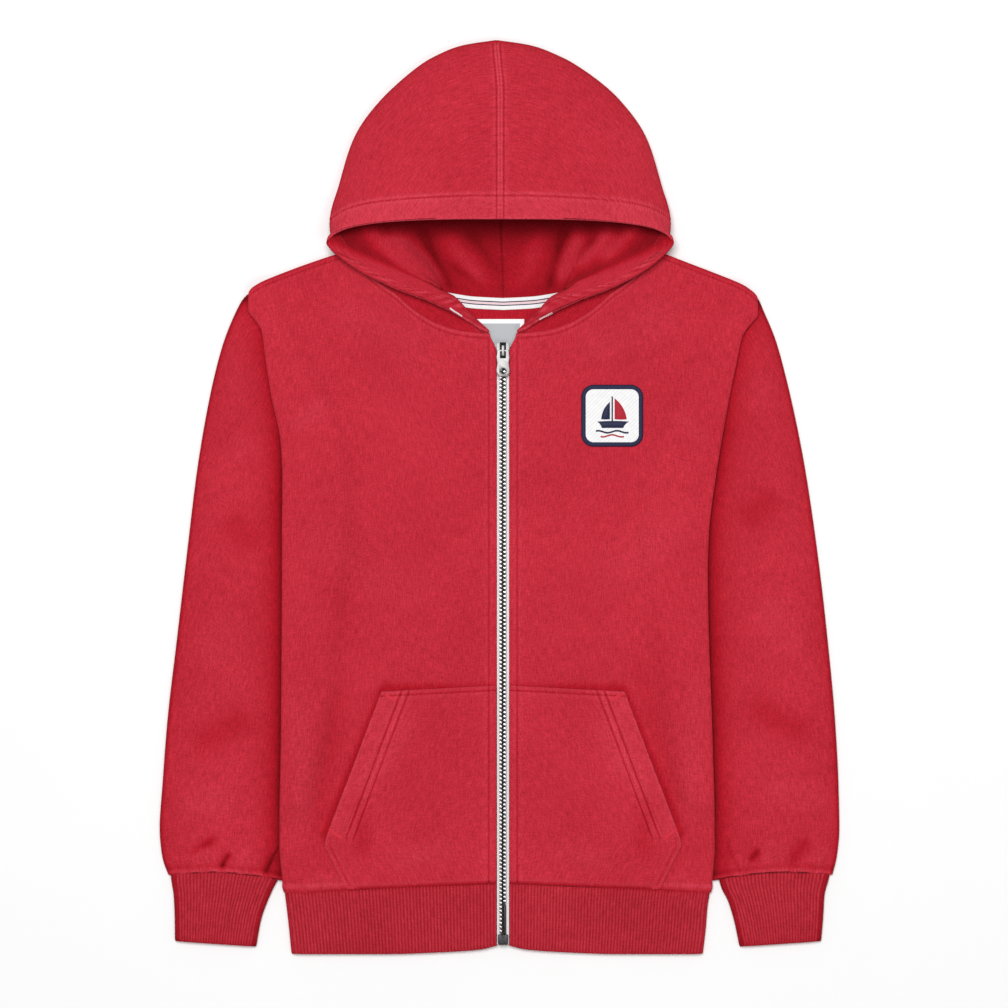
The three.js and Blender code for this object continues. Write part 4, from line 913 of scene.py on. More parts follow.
def front_wear(grid):
    """Painted shade at the shoulder's turn, in the stitch grooves beside the zip and under the neckline, in the hem
    seam and round the pockets, with painted highlights beside the stitches, above the hem seam and on the crease
    ridges.
    """
    out, y = np.abs(grid[..., 0]), grid[..., 1]
    side = -1 if grid[0, 0, 0] < 0 else 1
    over = top_edge(np.minimum(out, 218), side, "front") - y
    shoulder = smooth_step(118, 132, out)
    wear = -0.8 * shoulder * np.exp(-((over / 2.2) ** 2)) - 0.25 * shoulder * np.exp(-over / 10)
    above_hem = y - hem_seam_y(out)
    wear = wear + 0.5 * np.exp(-((above_hem - 3.4) / 1.6) ** 2) - 0.9 * np.exp(-((above_hem - 0.8) / 1.2) ** 2)
    wear = wear + 1.6 * groove(out - ZIP_EDGE - FRONT_STITCH) * smooth_step(535, 529, y)
    wear = wear + 1.6 * groove(over - NECK_STITCH, 0.5) * smooth_step(8, 20, out)
    y_out = np.clip(y, POCKET["bottom"], POCKET["top"])
    beyond = np.hypot(out - np.minimum(out, pocket_outer(y_out)), np.maximum(y - POCKET["top"] - 1, 0))
    # Painted shadow on the front round the pocket's edges.
    wear = wear - 0.9 * np.exp(-((beyond / 2.4) ** 2)) - 0.3 * np.exp(-beyond / 9) * (y < POCKET["top"])
    return wear + 0.5 * creases(FRONT_CREASES[side], side * out, y)


def front_grid(side):
    from_zip = np.array([0, 1.5, 3, 4.4, *beside(FRONT_STITCH), 9.6, 11.5, 14, 17, 20])
    end = panel_edge(SHOULDER_TIP_Y, side) - ZIP_EDGE
    from_zip = np.concatenate([graded(from_zip, end - 5, 2.7), end - np.array([3.6, 2.4, 1.4, 0.6, 0])])
    from_top = np.array([0, 1.4, 2.6, *beside(NECK_STITCH, 0.5), 7.2, 9, 11.2, 13.6, 16])
    return body_grid(side, "front", from_zip, from_top, 170)


def back_grid():
    halves = []
    for side in (-1, 1):
        end = panel_edge(SHOULDER_TIP_Y, side) - ZIP_EDGE
        from_zip = np.concatenate([graded(np.array([0.0, 4]), end - 5, 5), end - np.array([3.6, 2.4, 1.4, 0.6, 0])])
        halves.append(body_grid(side, "back", from_zip, np.array([0, 1.4, 2.8, 5, 9]), 90))
    return np.concatenate([halves[0][:, ::-1], halves[1]], axis=1)


def patch_outline(u, v, inset=0.0):
    """A square with rounded corners: u across and v down it, from -1 to 1."""
    half = PATCH["size"] / 2 - inset
    corner = PATCH["corner"] - inset
    y = v * half
    past = np.maximum(0, np.abs(y) - (half - corner)) / corner
    reach = half - corner + corner * np.sqrt(np.maximum(0, 1 - past**2))
    return PATCH["x"] + u * reach, PATCH["y"] - y


def patch_grid():
    v = np.sin(np.linspace(-1, 1, 41) * np.pi / 2)
    u = np.linspace(-1, 1, 41)
    x, y = patch_outline(u[None, :], v[:, None] * 0.995)
    x, y = np.broadcast_arrays(x, y)
    return np.stack([x, y, front_top(x, y, 1) + 0.1 + PATCH["thick"] / 2], axis=-1)


def on_patch(x, y, over=0.0):
    """A point on the patch's face, from its middle."""
    x, y = PATCH["x"] + np.asarray(x, float), PATCH["y"] + np.asarray(y, float)
    return np.stack([x, y, front_top(x, y, 1) + 0.1 + PATCH["thick"] + over], axis=-1)


def neck_tape_grid():
    x = np.linspace(-NECK_TAPE["reach"], NECK_TAPE["reach"], 90)[None, :]
    v = np.linspace(0, 1, 9)[:, None]
    y = top_edge(np.abs(x), -1, "back") + NECK_TAPE["above"] - NECK_TAPE["width"] * v
    z = CLOTH + SEAM + TAPE / 2 + 0.25 * np.sin(x / 6.2) * np.sin(x / 2.9) * (v - 0.5)
    return np.stack(np.broadcast_arrays(x, y, z), axis=-1)


def label_grid():
    u = np.linspace(-0.5, 0.5, 24)[None, :]
    v = np.linspace(0, 1, 16)[:, None]
    z = CLOTH + SEAM + TAPE / 2 + 0.8 * np.sin(np.pi * v) * (0.5 + u)
    x, y = LABEL["x"] + u * LABEL["width"], LABEL["top"] - v * LABEL["height"]
    return np.stack(np.broadcast_arrays(x, y, z), axis=-1)


def zip_tape_grid(side):
    y = np.linspace(ZIP_TOP_Y, ZIP_BOTTOM_Y, 180)[:, None]
    across = np.array([SEAM / 2, 0.9, 1.6, 2.2, 3.0, 4.0, ZIP_EDGE, 8, ZIP_TAPE_OUT])[None, :]
    z = CLOTH * 1.5 + AIR + ZIP_RISE - RIB / 2 - SEAM - TAPE / 2
    z = z + 0.35 * np.exp(-(((across - 2.2) / 0.9) ** 2))
    return np.stack(np.broadcast_arrays(side * across, y, z), axis=-1)


# Stitches


def surface(*names):
    """The shown faces of some pieces, to lay stitches on, in metres."""
    points, faces = [], []
    for name in names:
        mesh = bpy.data.objects[name].data
        start = len(points)
        points += [v.co.copy() for v in mesh.vertices]
        faces += [[start + k for k in face.vertices] for face in mesh.polygons]
    return BVHTree.FromPolygons(points, faces)


def along_line(line, step, closed=False):
    """Places a step apart along a broken line, each with its direction."""
    line = np.asarray(line, float)
    if closed:
        line = np.concatenate([line, line[:1]])
    run = np.concatenate([[0], np.cumsum(np.linalg.norm(np.diff(line, axis=0), axis=1))])
    count = max(2, int(run[-1] / step))
    at = (np.arange(count) + 0.5) * run[-1] / count
    place = np.stack([np.interp(at, run, line[:, k]) for k in range(line.shape[1])], axis=1)
    ahead = np.stack([np.interp(at + 0.3, run, line[:, k]) for k in range(line.shape[1])], axis=1)
    behind = np.stack([np.interp(at - 0.3, run, line[:, k]) for k in range(line.shape[1])], axis=1)
    return place, ahead - behind


def one_stitch(length, width):
    """A small rounded bar along x."""
    rings = [(-0.5, 0.25), (-0.36, 0.85), (0, 1.0), (0.36, 0.85), (0.5, 0.25)]
    points = [
        (length * at, width / 2 * size * math.cos(k * math.pi / 3), width / 2 * size * math.sin(k * math.pi / 3))
        for at, size in rings
        for k in range(6)
    ]
    faces = [
        (r * 6 + k, r * 6 + (k + 1) % 6, (r + 1) * 6 + (k + 1) % 6, (r + 1) * 6 + k)
        for r in range(len(rings) - 1)
        for k in range(6)
    ]
    faces += [tuple(range(6))[::-1], tuple(range(24, 30))]
    return np.array(points), faces


def lay_stitches(name, tree, lines, length, gap, width, sink, slot, material):
    """Stitches along lines over a piece's upper face, in millimetres."""
    shape, shape_faces = one_stitch(length, width)
    points, faces = [], []
    for line in lines:
        places, ways = along_line(line, length + gap)
        for (x, y), (dx, dy) in zip(places, ways):
            start = Vector(to_metres([x, y, 60]))
            hit, normal, _, _ = tree.ray_cast(start, Vector((0, 0, -1)))
            if hit is None:
                continue
            if normal.z < 0:
                normal = -normal
            ahead = Vector((dx, dy, 0)).normalized()
            ahead = (ahead - normal * ahead.dot(normal)).normalized()
            aside = normal.cross(ahead)
            base = np.array(hit) / MM - np.array(normal) * sink
            first = len(points) * len(shape)
            frame_axes = np.array([ahead, aside, normal])
            points.append(base + shape @ frame_axes)
            faces += [tuple(first + k for k in face) for face in shape_faces]
    piece = mesh_object(name, np.concatenate(points) * MM, faces, None, material)
    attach(piece, "garment")
    return piece


def mirrored(side, line):
    return [(side * x, y) for x, y in line]


def front_stitch_line(side):
    x = ZIP_EDGE + FRONT_STITCH
    return mirrored(side, [(x + 5, 531.5), (x + 1.5, 527), (x, 519), (x, 300), (x, 13)])


def neck_stitch_line(side):
    out = np.concatenate([np.arange(14, 124, 2.0), [124.5]])
    y = top_edge(out, side, "front") - NECK_STITCH
    return list(zip(side * out, y))


def shoulder_stitch_line(side):
    out = np.arange(130, 212, 4.0)
    return list(zip(side * out, top_edge(out, side, "front") - NECK_STITCH))


def pocket_lines(side):
    p = POCKET
    rows = []
    for across in POCKET_STITCHES:
        y = np.linspace(p["top"] - 5.6, p["corner"] - 4 + across * 0.1, 12)
        rows.append(list(zip(side * (pocket_outer(np.maximum(y, p["corner"])) - across), y)))
    x = np.linspace(p["top_out"] - 4, 14, 20)
    top = mix(235.2, 230, (x - p["zip"]) / (p["top_out"] - p["zip"])) - POCKET_TOP_STITCH
    rows.append(list(zip(side * x, top)))
    y = np.linspace(p["corner"] - 3, p["bottom"] - 4, 6)
    rows.append(list(zip(side * (pocket_outer(y) - 5), y)))
    return rows


def hood_rim_line(grid, band):
    """The stitches that hold the turned-under face edge, on the hood's outer face."""
    run = np.linalg.norm(np.diff(grid, axis=1), axis=-1)
    from_rim = np.concatenate([np.zeros((len(grid), 1)), np.cumsum(run, axis=1)], axis=1)
    line = []
    for row, distances, width in zip(grid, from_rim, band):
        line.append([np.interp(width - 2, distances, row[:, k]) for k in range(2)])
    return line[2:]


# Materials


class Nodes:
    """A material's nodes, added and joined one after another."""

    def __init__(self, name):
        self.material = bpy.data.materials.new(name)
        self.material.use_nodes = True
        self.tree = self.material.node_tree
        self.shader = self.tree.nodes["Principled BSDF"]

    def add(self, kind, **values):
        node = self.tree.nodes.new(kind)
        for key, value in values.items():
            if hasattr(node, key):
                setattr(node, key, value)
            else:
                node.inputs[key.replace("_", " ").title() if key.islower() else key].default_value = value
        return node

    def join(self, source, target):
        self.tree.links.new(source, target)


def noise(nodes, where, scale, detail=3.0, roughness=0.55):
    node = nodes.add("ShaderNodeTexNoise")
    node.inputs["Scale"].default_value = scale
    node.inputs["Detail"].default_value = detail
    node.inputs["Roughness"].default_value = roughness
    nodes.join(where, node.inputs["Vector"])
    return node.outputs["Fac"]


def ramp(nodes, value, low, high, low_colour, high_colour):
    node = nodes.add("ShaderNodeValToRGB")
    first, second = node.color_ramp.elements
    first.position, second.position = low, high
    first.color, second.color = (*low_colour, 1), (*high_colour, 1)
    nodes.join(value, node.inputs["Fac"])
    return node.outputs["Color"]


def blend_colours(nodes, kind, amount, first, second):
    node = nodes.add("ShaderNodeMix")
    node.data_type = "RGBA"
    node.blend_type = kind
    node.inputs["Factor"].default_value = amount
    nodes.join(first, node.inputs["A"])
    nodes.join(second, node.inputs["B"])
    return node.outputs["Result"]


def bump(nodes, height, strength, distance, after=None):
    node = nodes.add("ShaderNodeBump")
    node.inputs["Strength"].default_value = strength
    node.inputs["Distance"].default_value = distance * MM
    nodes.join(height, node.inputs["Height"])
    if after is not None:
        nodes.join(after, node.inputs["Normal"])
    return node.outputs["Normal"]


def shade(colour, factor):
    return tuple(min(1.0, c * factor) for c in colour)


def knitted(name, colour, uneven=0.2, wales=0.85, nap=0.5, sheen=0.04):
    """Brushed or ribbed knit: fine wales along the cloth, a soft nap, and colour that is washed unevenly.

    A point attribute tints the colour: below 0 darker and deeper red, as painted shade together with unfaded cloth,
    and above 0 lighter and paler, as painted highlight together with rubbed, faded cloth."""
    nodes = Nodes(name)
    place = nodes.add("ShaderNodeTexCoord").outputs["Object"]
    uv = nodes.add("ShaderNodeUVMap")
    uv.uv_map = "Cloth"
    fine = noise(nodes, place, 900, 3.0, 0.75)
    cloudy = noise(nodes, place, 75, 5.0, 0.65)
    wide = noise(nodes, place, 11, 3.0)
    along = nodes.add("ShaderNodeMapping")
    along.inputs["Scale"].default_value = (1000, 110, 1)
    nodes.join(uv.outputs["UV"], along.inputs["Vector"])
    threads = noise(nodes, along.outputs["Vector"], 1.0, 2.0, 0.6)
    across = nodes.add("ShaderNodeMapping")
    across.inputs["Scale"].default_value = (150, 800, 1)
    nodes.join(uv.outputs["UV"], across.inputs["Vector"])
    slubs = noise(nodes, across.outputs["Vector"], 1.0, 2.0, 0.6)
    tone = ramp(nodes, fine, 0.34, 0.66, shade(colour, 1 - uneven), shade(colour, 1 + uneven))
    lines = ramp(nodes, threads, 0.36, 0.64, (0.88, 0.8, 0.83), (1.11, 1.25, 1.21))
    rows = ramp(nodes, slubs, 0.36, 0.66, (0.93, 0.9, 0.91), (1.07, 1.14, 1.12))
    clouds = ramp(nodes, cloudy, 0.34, 0.66, (0.975, 0.95, 0.96), (1.02, 1.05, 1.04))
    broad = ramp(nodes, wide, 0.32, 0.68, (0.94, 0.88, 0.9), (1.05, 1.11, 1.1))
    mixed = tone
    for layer in (lines, rows, clouds, broad):
        mixed = blend_colours(nodes, "MULTIPLY", 1.0, mixed, layer)
    # Painted shade and painted highlight, together with fading, from the point attribute: deeper red below 0, paler
    # above.
    shading_and_wear_value = nodes.add("ShaderNodeAttribute")
    shading_and_wear_value.attribute_name = "wear"
    shading_and_wear_range = nodes.add("ShaderNodeMapRange")
    shading_and_wear_range.inputs["From Min"].default_value = -2.4
    shading_and_wear_range.inputs["From Max"].default_value = 1.2
    nodes.join(shading_and_wear_value.outputs["Fac"], shading_and_wear_range.inputs["Value"])
    shading_and_wear_tint = nodes.add("ShaderNodeValToRGB")
    stops = shading_and_wear_tint.color_ramp.elements
    stops[0].position, stops[0].color = 0.0, (0.34, 0.06, 0.11, 1)
    stops[1].position, stops[1].color = 1.0, (1.2, 2.1, 1.85, 1)
    stops.new(0.36).color = (0.82, 0.33, 0.45, 1)
    stops.new(0.667).color = (1, 1, 1, 1)
    nodes.join(shading_and_wear_range.outputs["Result"], shading_and_wear_tint.inputs["Fac"])
    mixed = blend_colours(nodes, "MULTIPLY", 1.0, mixed, shading_and_wear_tint.outputs["Color"])
    nodes.join(mixed, nodes.shader.inputs["Base Color"])
    wave = nodes.add("ShaderNodeTexWave", wave_type="BANDS", bands_direction="X")
    wave.inputs["Scale"].default_value = 1 / (wales * MM) / 2 / math.pi * 0.5
    wave.inputs["Distortion"].default_value = 1.2
    wave.inputs["Detail"].default_value = 2
    wave.inputs["Detail Scale"].default_value = 3
    nodes.join(uv.outputs["UV"], wave.inputs["Vector"])
    normal = bump(nodes, wave.outputs["Fac"], 0.3, 0.3)
    normal = bump(nodes, cloudy, 0.25, 0.5, normal)
    normal = bump(nodes, threads, 0.4, 0.3, normal)
    normal = bump(nodes, fine, nap, 0.4, normal)
    nodes.join(normal, nodes.shader.inputs["Normal"])
    nodes.shader.inputs["Roughness"].default_value = 0.95
    nodes.shader.inputs["Specular IOR Level"].default_value = 0.1
    nodes.shader.inputs["Sheen Weight"].default_value = sheen
    nodes.shader.inputs["Sheen Roughness"].default_value = 0.5
    nodes.shader.inputs["Sheen Tint"].default_value = (1.0, 0.5, 0.5, 1)
    return nodes.material


def threaded(name, colour, pitch=0.5, roughness=0.6):
    """Sewing thread and satin stitches: fine twisted lines with a light gloss."""
    nodes = Nodes(name)
    place = nodes.add("ShaderNodeTexCoord").outputs["Object"]
    wave = nodes.add("ShaderNodeTexWave", wave_type="BANDS", bands_direction="DIAGONAL")
    wave.inputs["Scale"].default_value = 1 / (pitch * MM) / 2 / math.pi
    wave.inputs["Distortion"].default_value = 0.6
    nodes.join(place, wave.inputs["Vector"])
    tone = ramp(nodes, wave.outputs["Fac"], 0.1, 0.9, shade(colour, 0.8), shade(colour, 1.12))
    nodes.join(tone, nodes.shader.inputs["Base Color"])
    nodes.join(bump(nodes, wave.outputs["Fac"], 0.5, 0.12), nodes.shader.inputs["Normal"])
    nodes.shader.inputs["Roughness"].default_value = roughness
    nodes.shader.inputs["Specular IOR Level"].default_value = 0.15
    return nodes.material


def distance_from(nodes, value, place, reach=0.03):
    """Distance of a coordinate from a place, as a share of a reach in metres."""
    away = nodes.add("ShaderNodeMath", operation="SUBTRACT")
    nodes.join(value, away.inputs[0])
    away.inputs[1].default_value = place
    size = nodes.add("ShaderNodeMath", operation="ABSOLUTE")
    nodes.join(away.outputs["Value"], size.inputs[0])
    share = nodes.add("ShaderNodeMath", operation="DIVIDE")
    nodes.join(size.outputs["Value"], share.inputs[0])
    share.inputs[1].default_value = reach
    return share.outputs["Value"]


def woven(name, colour, pitch=0.7, stripes=(), under_teeth=None, border=None):
    """Woven tape: a fine twill, with stripes along it at shares of its width in metres of its UV.

    under_teeth is the half width that lies in the shade of the zip's teeth, and border is the colour inside a
    label's white edge."""
    nodes = Nodes(name)
    uv = nodes.add("ShaderNodeUVMap")
    uv.uv_map = "Cloth"
    place = nodes.add("ShaderNodeTexCoord").outputs["Object"]
    wave = nodes.add("ShaderNodeTexWave", wave_type="BANDS", bands_direction="DIAGONAL")
    wave.inputs["Scale"].default_value = 1 / (pitch * MM) / 2 / math.pi
    wave.inputs["Distortion"].default_value = 0.3
    nodes.join(uv.outputs["UV"], wave.inputs["Vector"])
    tone = ramp(nodes, wave.outputs["Fac"], 0.1, 0.9, shade(colour, 0.9), colour)
    soft = ramp(nodes, noise(nodes, place, 300, 2.0), 0.3, 0.7, (0.92, 0.92, 0.92), (1, 1, 1))
    mixed = blend_colours(nodes, "MULTIPLY", 1.0, tone, soft)
    if stripes:
        split = nodes.add("ShaderNodeSeparateXYZ")
        nodes.join(uv.outputs["UV"], split.inputs["Vector"])
        bands = nodes.add("ShaderNodeValToRGB")
        bands.color_ramp.interpolation = "CONSTANT"
        scaled = nodes.add("ShaderNodeMath", operation="MULTIPLY")
        scaled.inputs[1].default_value = 1 / (NECK_TAPE["width"] * MM)
        nodes.join(split.outputs["Y"], scaled.inputs[0])
        nodes.join(scaled.outputs["Value"], bands.inputs["Fac"])
        elements = bands.color_ramp.elements
        elements[0].position, elements[0].color = 0.0, (*stripes[0][1], 1)
        elements[1].position, elements[1].color = stripes[1][0], (*stripes[1][1], 1)
        for at, tint in stripes[2:]:
            elements.new(at).color = (*tint, 1)
        mixed = blend_colours(nodes, "MULTIPLY", 1.0, mixed, bands.outputs["Color"])
    if under_teeth or border:
        parts = nodes.add("ShaderNodeSeparateXYZ")
        nodes.join(place, parts.inputs["Vector"])
    if under_teeth:
        # Painted shadow: the tape is painted nearly black across the width that lies under and between the teeth.
        from_chain_middle = distance_from(nodes, parts.outputs["X"], ORIGIN[0])
        edge = ramp(nodes, from_chain_middle, 0.0, 1.0, (0.06, 0.06, 0.065), (1, 1, 1))
        edge.node.color_ramp.elements[0].position = under_teeth - 0.04
        edge.node.color_ramp.elements[1].position = under_teeth + 0.03
        mixed = blend_colours(nodes, "MULTIPLY", 1.0, mixed, edge)
    if border:
        across = distance_from(nodes, parts.outputs["X"], ORIGIN[0] + LABEL["x"] * MM)
        down = distance_from(nodes, parts.outputs["Y"], ORIGIN[1] + (LABEL["top"] - LABEL["height"] / 2) * MM)
        for off, half in ((across, LABEL["width"] / 2 - 3.6), (down, LABEL["height"] / 2 - 3.6)):
            field = ramp(nodes, off, half / 100 * 10 / 3 - 0.01, half / 100 * 10 / 3, border, (1, 1, 1))
            mixed = blend_colours(nodes, "LIGHTEN", 1.0, mixed, field) if off is not across else field
    nodes.join(mixed, nodes.shader.inputs["Base Color"])
    nodes.join(bump(nodes, wave.outputs["Fac"], 0.5, 0.15), nodes.shader.inputs["Normal"])
    nodes.shader.inputs["Roughness"].default_value = 0.8
    nodes.shader.inputs["Sheen Weight"].default_value = 0.1
    return nodes.material


def metal(name, colour, roughness, scratch=0.3, dark_below=None, fade=0.35):
    """Plated zip metal, a little scuffed and finely scratched; below a height it is painted dark, as painted shade on
    its sides and underside.
    """
    nodes = Nodes(name)
    place = nodes.add("ShaderNodeTexCoord").outputs["Object"]
    cloudy = noise(nodes, place, 420, 3.0)
    fine = noise(nodes, place, 2200, 2.0)
    tone = ramp(nodes, cloudy, 0.3, 0.7, shade(colour, 0.75), shade(colour, 1.1))
    # Painted shade: below the given height the metal is painted nearly black.
    if dark_below:
        height = nodes.add("ShaderNodeSeparateXYZ")
        nodes.join(place, height.inputs["Vector"])
        level = nodes.add("ShaderNodeMapRange")
        level.inputs["From Min"].default_value = (dark_below - fade) * MM
        level.inputs["From Max"].default_value = (dark_below + fade) * MM
        nodes.join(height.outputs["Z"], level.inputs["Value"])
        low_shade = ramp(nodes, level.outputs["Result"], 0.2, 0.8, (0.05, 0.05, 0.055), (1, 1, 1))
        tone = blend_colours(nodes, "MULTIPLY", 1.0, tone, low_shade)
    nodes.join(tone, nodes.shader.inputs["Base Color"])
    rough = nodes.add("ShaderNodeMapRange")
    rough.inputs["To Min"].default_value = roughness * 0.75
    rough.inputs["To Max"].default_value = min(1, roughness * 1.35)
    nodes.join(cloudy, rough.inputs["Value"])
    nodes.join(rough.outputs["Result"], nodes.shader.inputs["Roughness"])
    nodes.join(bump(nodes, fine, scratch, 0.05), nodes.shader.inputs["Normal"])
    nodes.shader.inputs["Metallic"].default_value = 1.0
    return nodes.material


def plain_floor(name, colour):
    nodes = Nodes(name)
    place = nodes.add("ShaderNodeTexCoord").outputs["Object"]
    tone = ramp(nodes, noise(nodes, place, 3, 3.0), 0.3, 0.7, shade(colour, 0.985), colour)
    nodes.join(tone, nodes.shader.inputs["Base Color"])
    nodes.shader.inputs["Roughness"].default_value = 0.9
    nodes.shader.inputs["Specular IOR Level"].default_value = 0.1
    return nodes.material


def finish_of(name):
    """A material by name, made when it is first asked for."""
    if name in bpy.data.materials:
        return bpy.data.materials[name]
    looks = bpy.context.scene.hoodie_looks
    fleece, rib, thread = tuple(looks.fleece), tuple(looks.rib), tuple(looks.thread)
    tape, navy, steel = tuple(looks.tape), tuple(looks.navy), tuple(looks.steel)
    pink = (0.95, 0.72, 0.74)
    line = shade(navy, 1.4)
    makers = {
        "red fleece": lambda: knitted(name, fleece),
        "red rib knit": lambda: knitted(name, rib, uneven=0.16, wales=0.7, nap=0.4),
        "red thread": lambda: threaded(name, thread),
        # A lighter copy of the red thread for the bartacks: a painted highlight on their dense bars.
        "highlit red thread": lambda: threaded(name, shade(thread, 1.5)),
        "white thread": lambda: threaded(name, tape, 0.5, 0.5),
        "navy thread": lambda: threaded(name, navy, 0.6, 0.5),
        "zip tape": lambda: woven(name, tape, under_teeth=0.098),
        "striped tape": lambda: woven(name, tape, 0.6, [
            (0, (1, 1, 1)), (0.3, line), (0.39, pink), (0.58, line), (0.665, (1, 1, 1)),
        ]),
        "label tape": lambda: woven(name, tape, 0.5, border=(0.46, 0.48, 0.5)),
        "patch cloth": lambda: woven(name, tape, 0.9),
        "tooth metal": lambda: metal(name, shade(steel, 2.0), 0.3, 0.3, CHAIN_BASE + 2.1),
        "slider metal": lambda: metal(name, steel, 0.45, 0.3, 9.9, 0.1),
        "pull metal": lambda: metal(name, steel, 0.45, 0.3, 11.8, 0.22),
        "dark metal": lambda: metal(name, tuple(looks.gunmetal), 0.42),
        "pale floor": lambda: plain_floor(name, tuple(looks.floor)),
    }
    return makers[name]()


# Hard pieces


def only(piece):
    """Makes a piece the active one, alone in the selection."""
    bpy.ops.object.select_all(action="DESELECT")
    piece.select_set(True)
    bpy.context.view_layer.objects.active = piece


def block(name, centre, size):
    """A box at its place and size, in millimetres."""
    bpy.ops.object.select_all(action="DESELECT")
    bpy.ops.mesh.primitive_cube_add(size=1, location=to_metres(centre), scale=[k * MM for k in size])
    piece = bpy.context.active_object
    piece.name = piece.data.name = name
    bpy.ops.object.transform_apply(location=True, rotation=True, scale=True)
    return piece


def rod(name, centre, radius, depth, sides=48):
    bpy.ops.object.select_all(action="DESELECT")
    bpy.ops.mesh.primitive_cylinder_add(
        vertices=sides, radius=radius * MM, depth=depth * MM, location=to_metres(centre),
    )
    piece = bpy.context.active_object
    piece.name = piece.data.name = name
    bpy.ops.object.transform_apply(location=True, rotation=True, scale=True)
    return piece


def choose(piece, wanted, kind="EDGE"):
    """In edit mode, selects the edges or faces whose middle, in millimetres, is wanted."""
    only(piece)
    bpy.ops.object.mode_set(mode="EDIT")
    bpy.ops.mesh.select_mode(type=kind)
    bpy.ops.mesh.select_all(action="DESELECT")
    shape = bmesh.from_edit_mesh(piece.data)
    if kind == "VERT":
        for vert in shape.verts:
            vert.select_set(bool(wanted((np.array(vert.co) - ORIGIN) / MM)))
    else:
        for part in shape.edges if kind == "EDGE" else shape.faces:
            middle = np.mean([v.co for v in part.verts], axis=0)
            part.select_set(bool(wanted((middle - ORIGIN) / MM)))
    shape.select_flush_mode()
    bmesh.update_edit_mesh(piece.data)


def leave_edit():
    bpy.ops.object.mode_set(mode="OBJECT")


def soften(piece, width, segments=2, angle=35):
    """Rounds a hard piece's edges over."""
    only(piece)
    bpy.ops.object.modifier_add(type="BEVEL")
    bevel = piece.modifiers[-1]
    bevel.width = width * MM
    bevel.segments = segments
    bevel.limit_method = "ANGLE"
    bevel.angle_limit = math.radians(angle)
    bpy.ops.object.modifier_apply(modifier=bevel.name)
    bpy.ops.object.shade_smooth_by_angle(angle=math.radians(40))


def cut_away(piece, cutter):
    only(piece)
    bpy.ops.object.modifier_add(type="BOOLEAN")
    cut = piece.modifiers[-1]
    cut.operation = "DIFFERENCE"
    cut.object = cutter
    cut.solver = "EXACT"
    bpy.ops.object.modifier_apply(modifier=cut.name)
    bpy.data.objects.remove(cutter, do_unlink=True)


def join_pieces(first, *others):
    only(first)
    for piece in others:
        piece.select_set(True)
    bpy.ops.object.join()
    return first


def fit(piece, body, slot, material, *nodes):
    """Gives a finished hard piece its material and its body; its slot is not used."""
    piece.data.materials.clear()
    piece.data.materials.append(finish_of(material))
    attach(piece, body)
    if nodes:
        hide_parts(*nodes)
    return piece


def zip_teeth():
    """One tooth, a bright head with a lower nose, copied up the chain from both sides in turn."""
    tooth = block("tooth_head", (1.75, 0, 0), (2.3, 1.7, 2.5))
    soften(tooth, 0.3, 2)
    nose = block("tooth_nose", (0.3, 0, -0.45), (1.5, 1.25, 1.6))
    soften(nose, 0.2, 1)
    join_pieces(tooth, nose)
    shape = np.array([(np.array(v.co) - ORIGIN) / MM for v in tooth.data.vertices])
    shape_faces = [tuple(f.vertices) for f in tooth.data.polygons]
    bpy.data.objects.remove(tooth, do_unlink=True)
    points, faces = [], []
    for k in range(int((CHAIN_TOP_Y - CHAIN_LOW_Y) / (TOOTH_PITCH / 2))):
        y = CHAIN_LOW_Y + k * TOOTH_PITCH / 2
        side = -1 if k % 2 else 1
        if side > 0 and y < 46.6:
            continue
        first = len(points) * len(shape)
        points.append(shape * [side, 1, 1] + [CHAIN_MIDDLE, y, CHAIN_BASE + 1.3])
        faces += [tuple(first + v for v in face[::side]) for face in shape_faces]
    piece = mesh_object("zip_teeth", to_metres(np.concatenate(points)), faces)
    only(piece)
    bpy.ops.object.shade_smooth_by_angle(angle=math.radians(40))
    return fit(piece, "garment", "zip_metal", "tooth metal", "zip_chain")


def zip_ends():
    """The box and the pin at the foot of the zip."""
    box = block("zip_foot_box", (0, 15.8, CHAIN_BASE + 1.65), (8.8, 8.6, 3.3))
    choose(box, lambda p: p[1] < 12 and abs(p[0]) > 4 and abs(p[2] - CHAIN_BASE - 1.65) < 0.1)
    bpy.ops.mesh.bevel(offset=1.6 * MM, segments=4)
    leave_edit()
    cut_away(box, block("foot_slot", (0.2, 20.1, CHAIN_BASE + 3.3), (1.2, 5, 1.2)))
    soften(box, 0.45, 3)
    fit(box, "garment", "dark_metal", "dark metal", "zip_box")
    pin = block("zip_foot_pin", (1.55, 33, CHAIN_BASE + 1.3), (2.0, 25, 2.4))
    soften(pin, 0.7, 3)
    fit(pin, "garment", "dark_metal", "dark metal", "zip_pin")


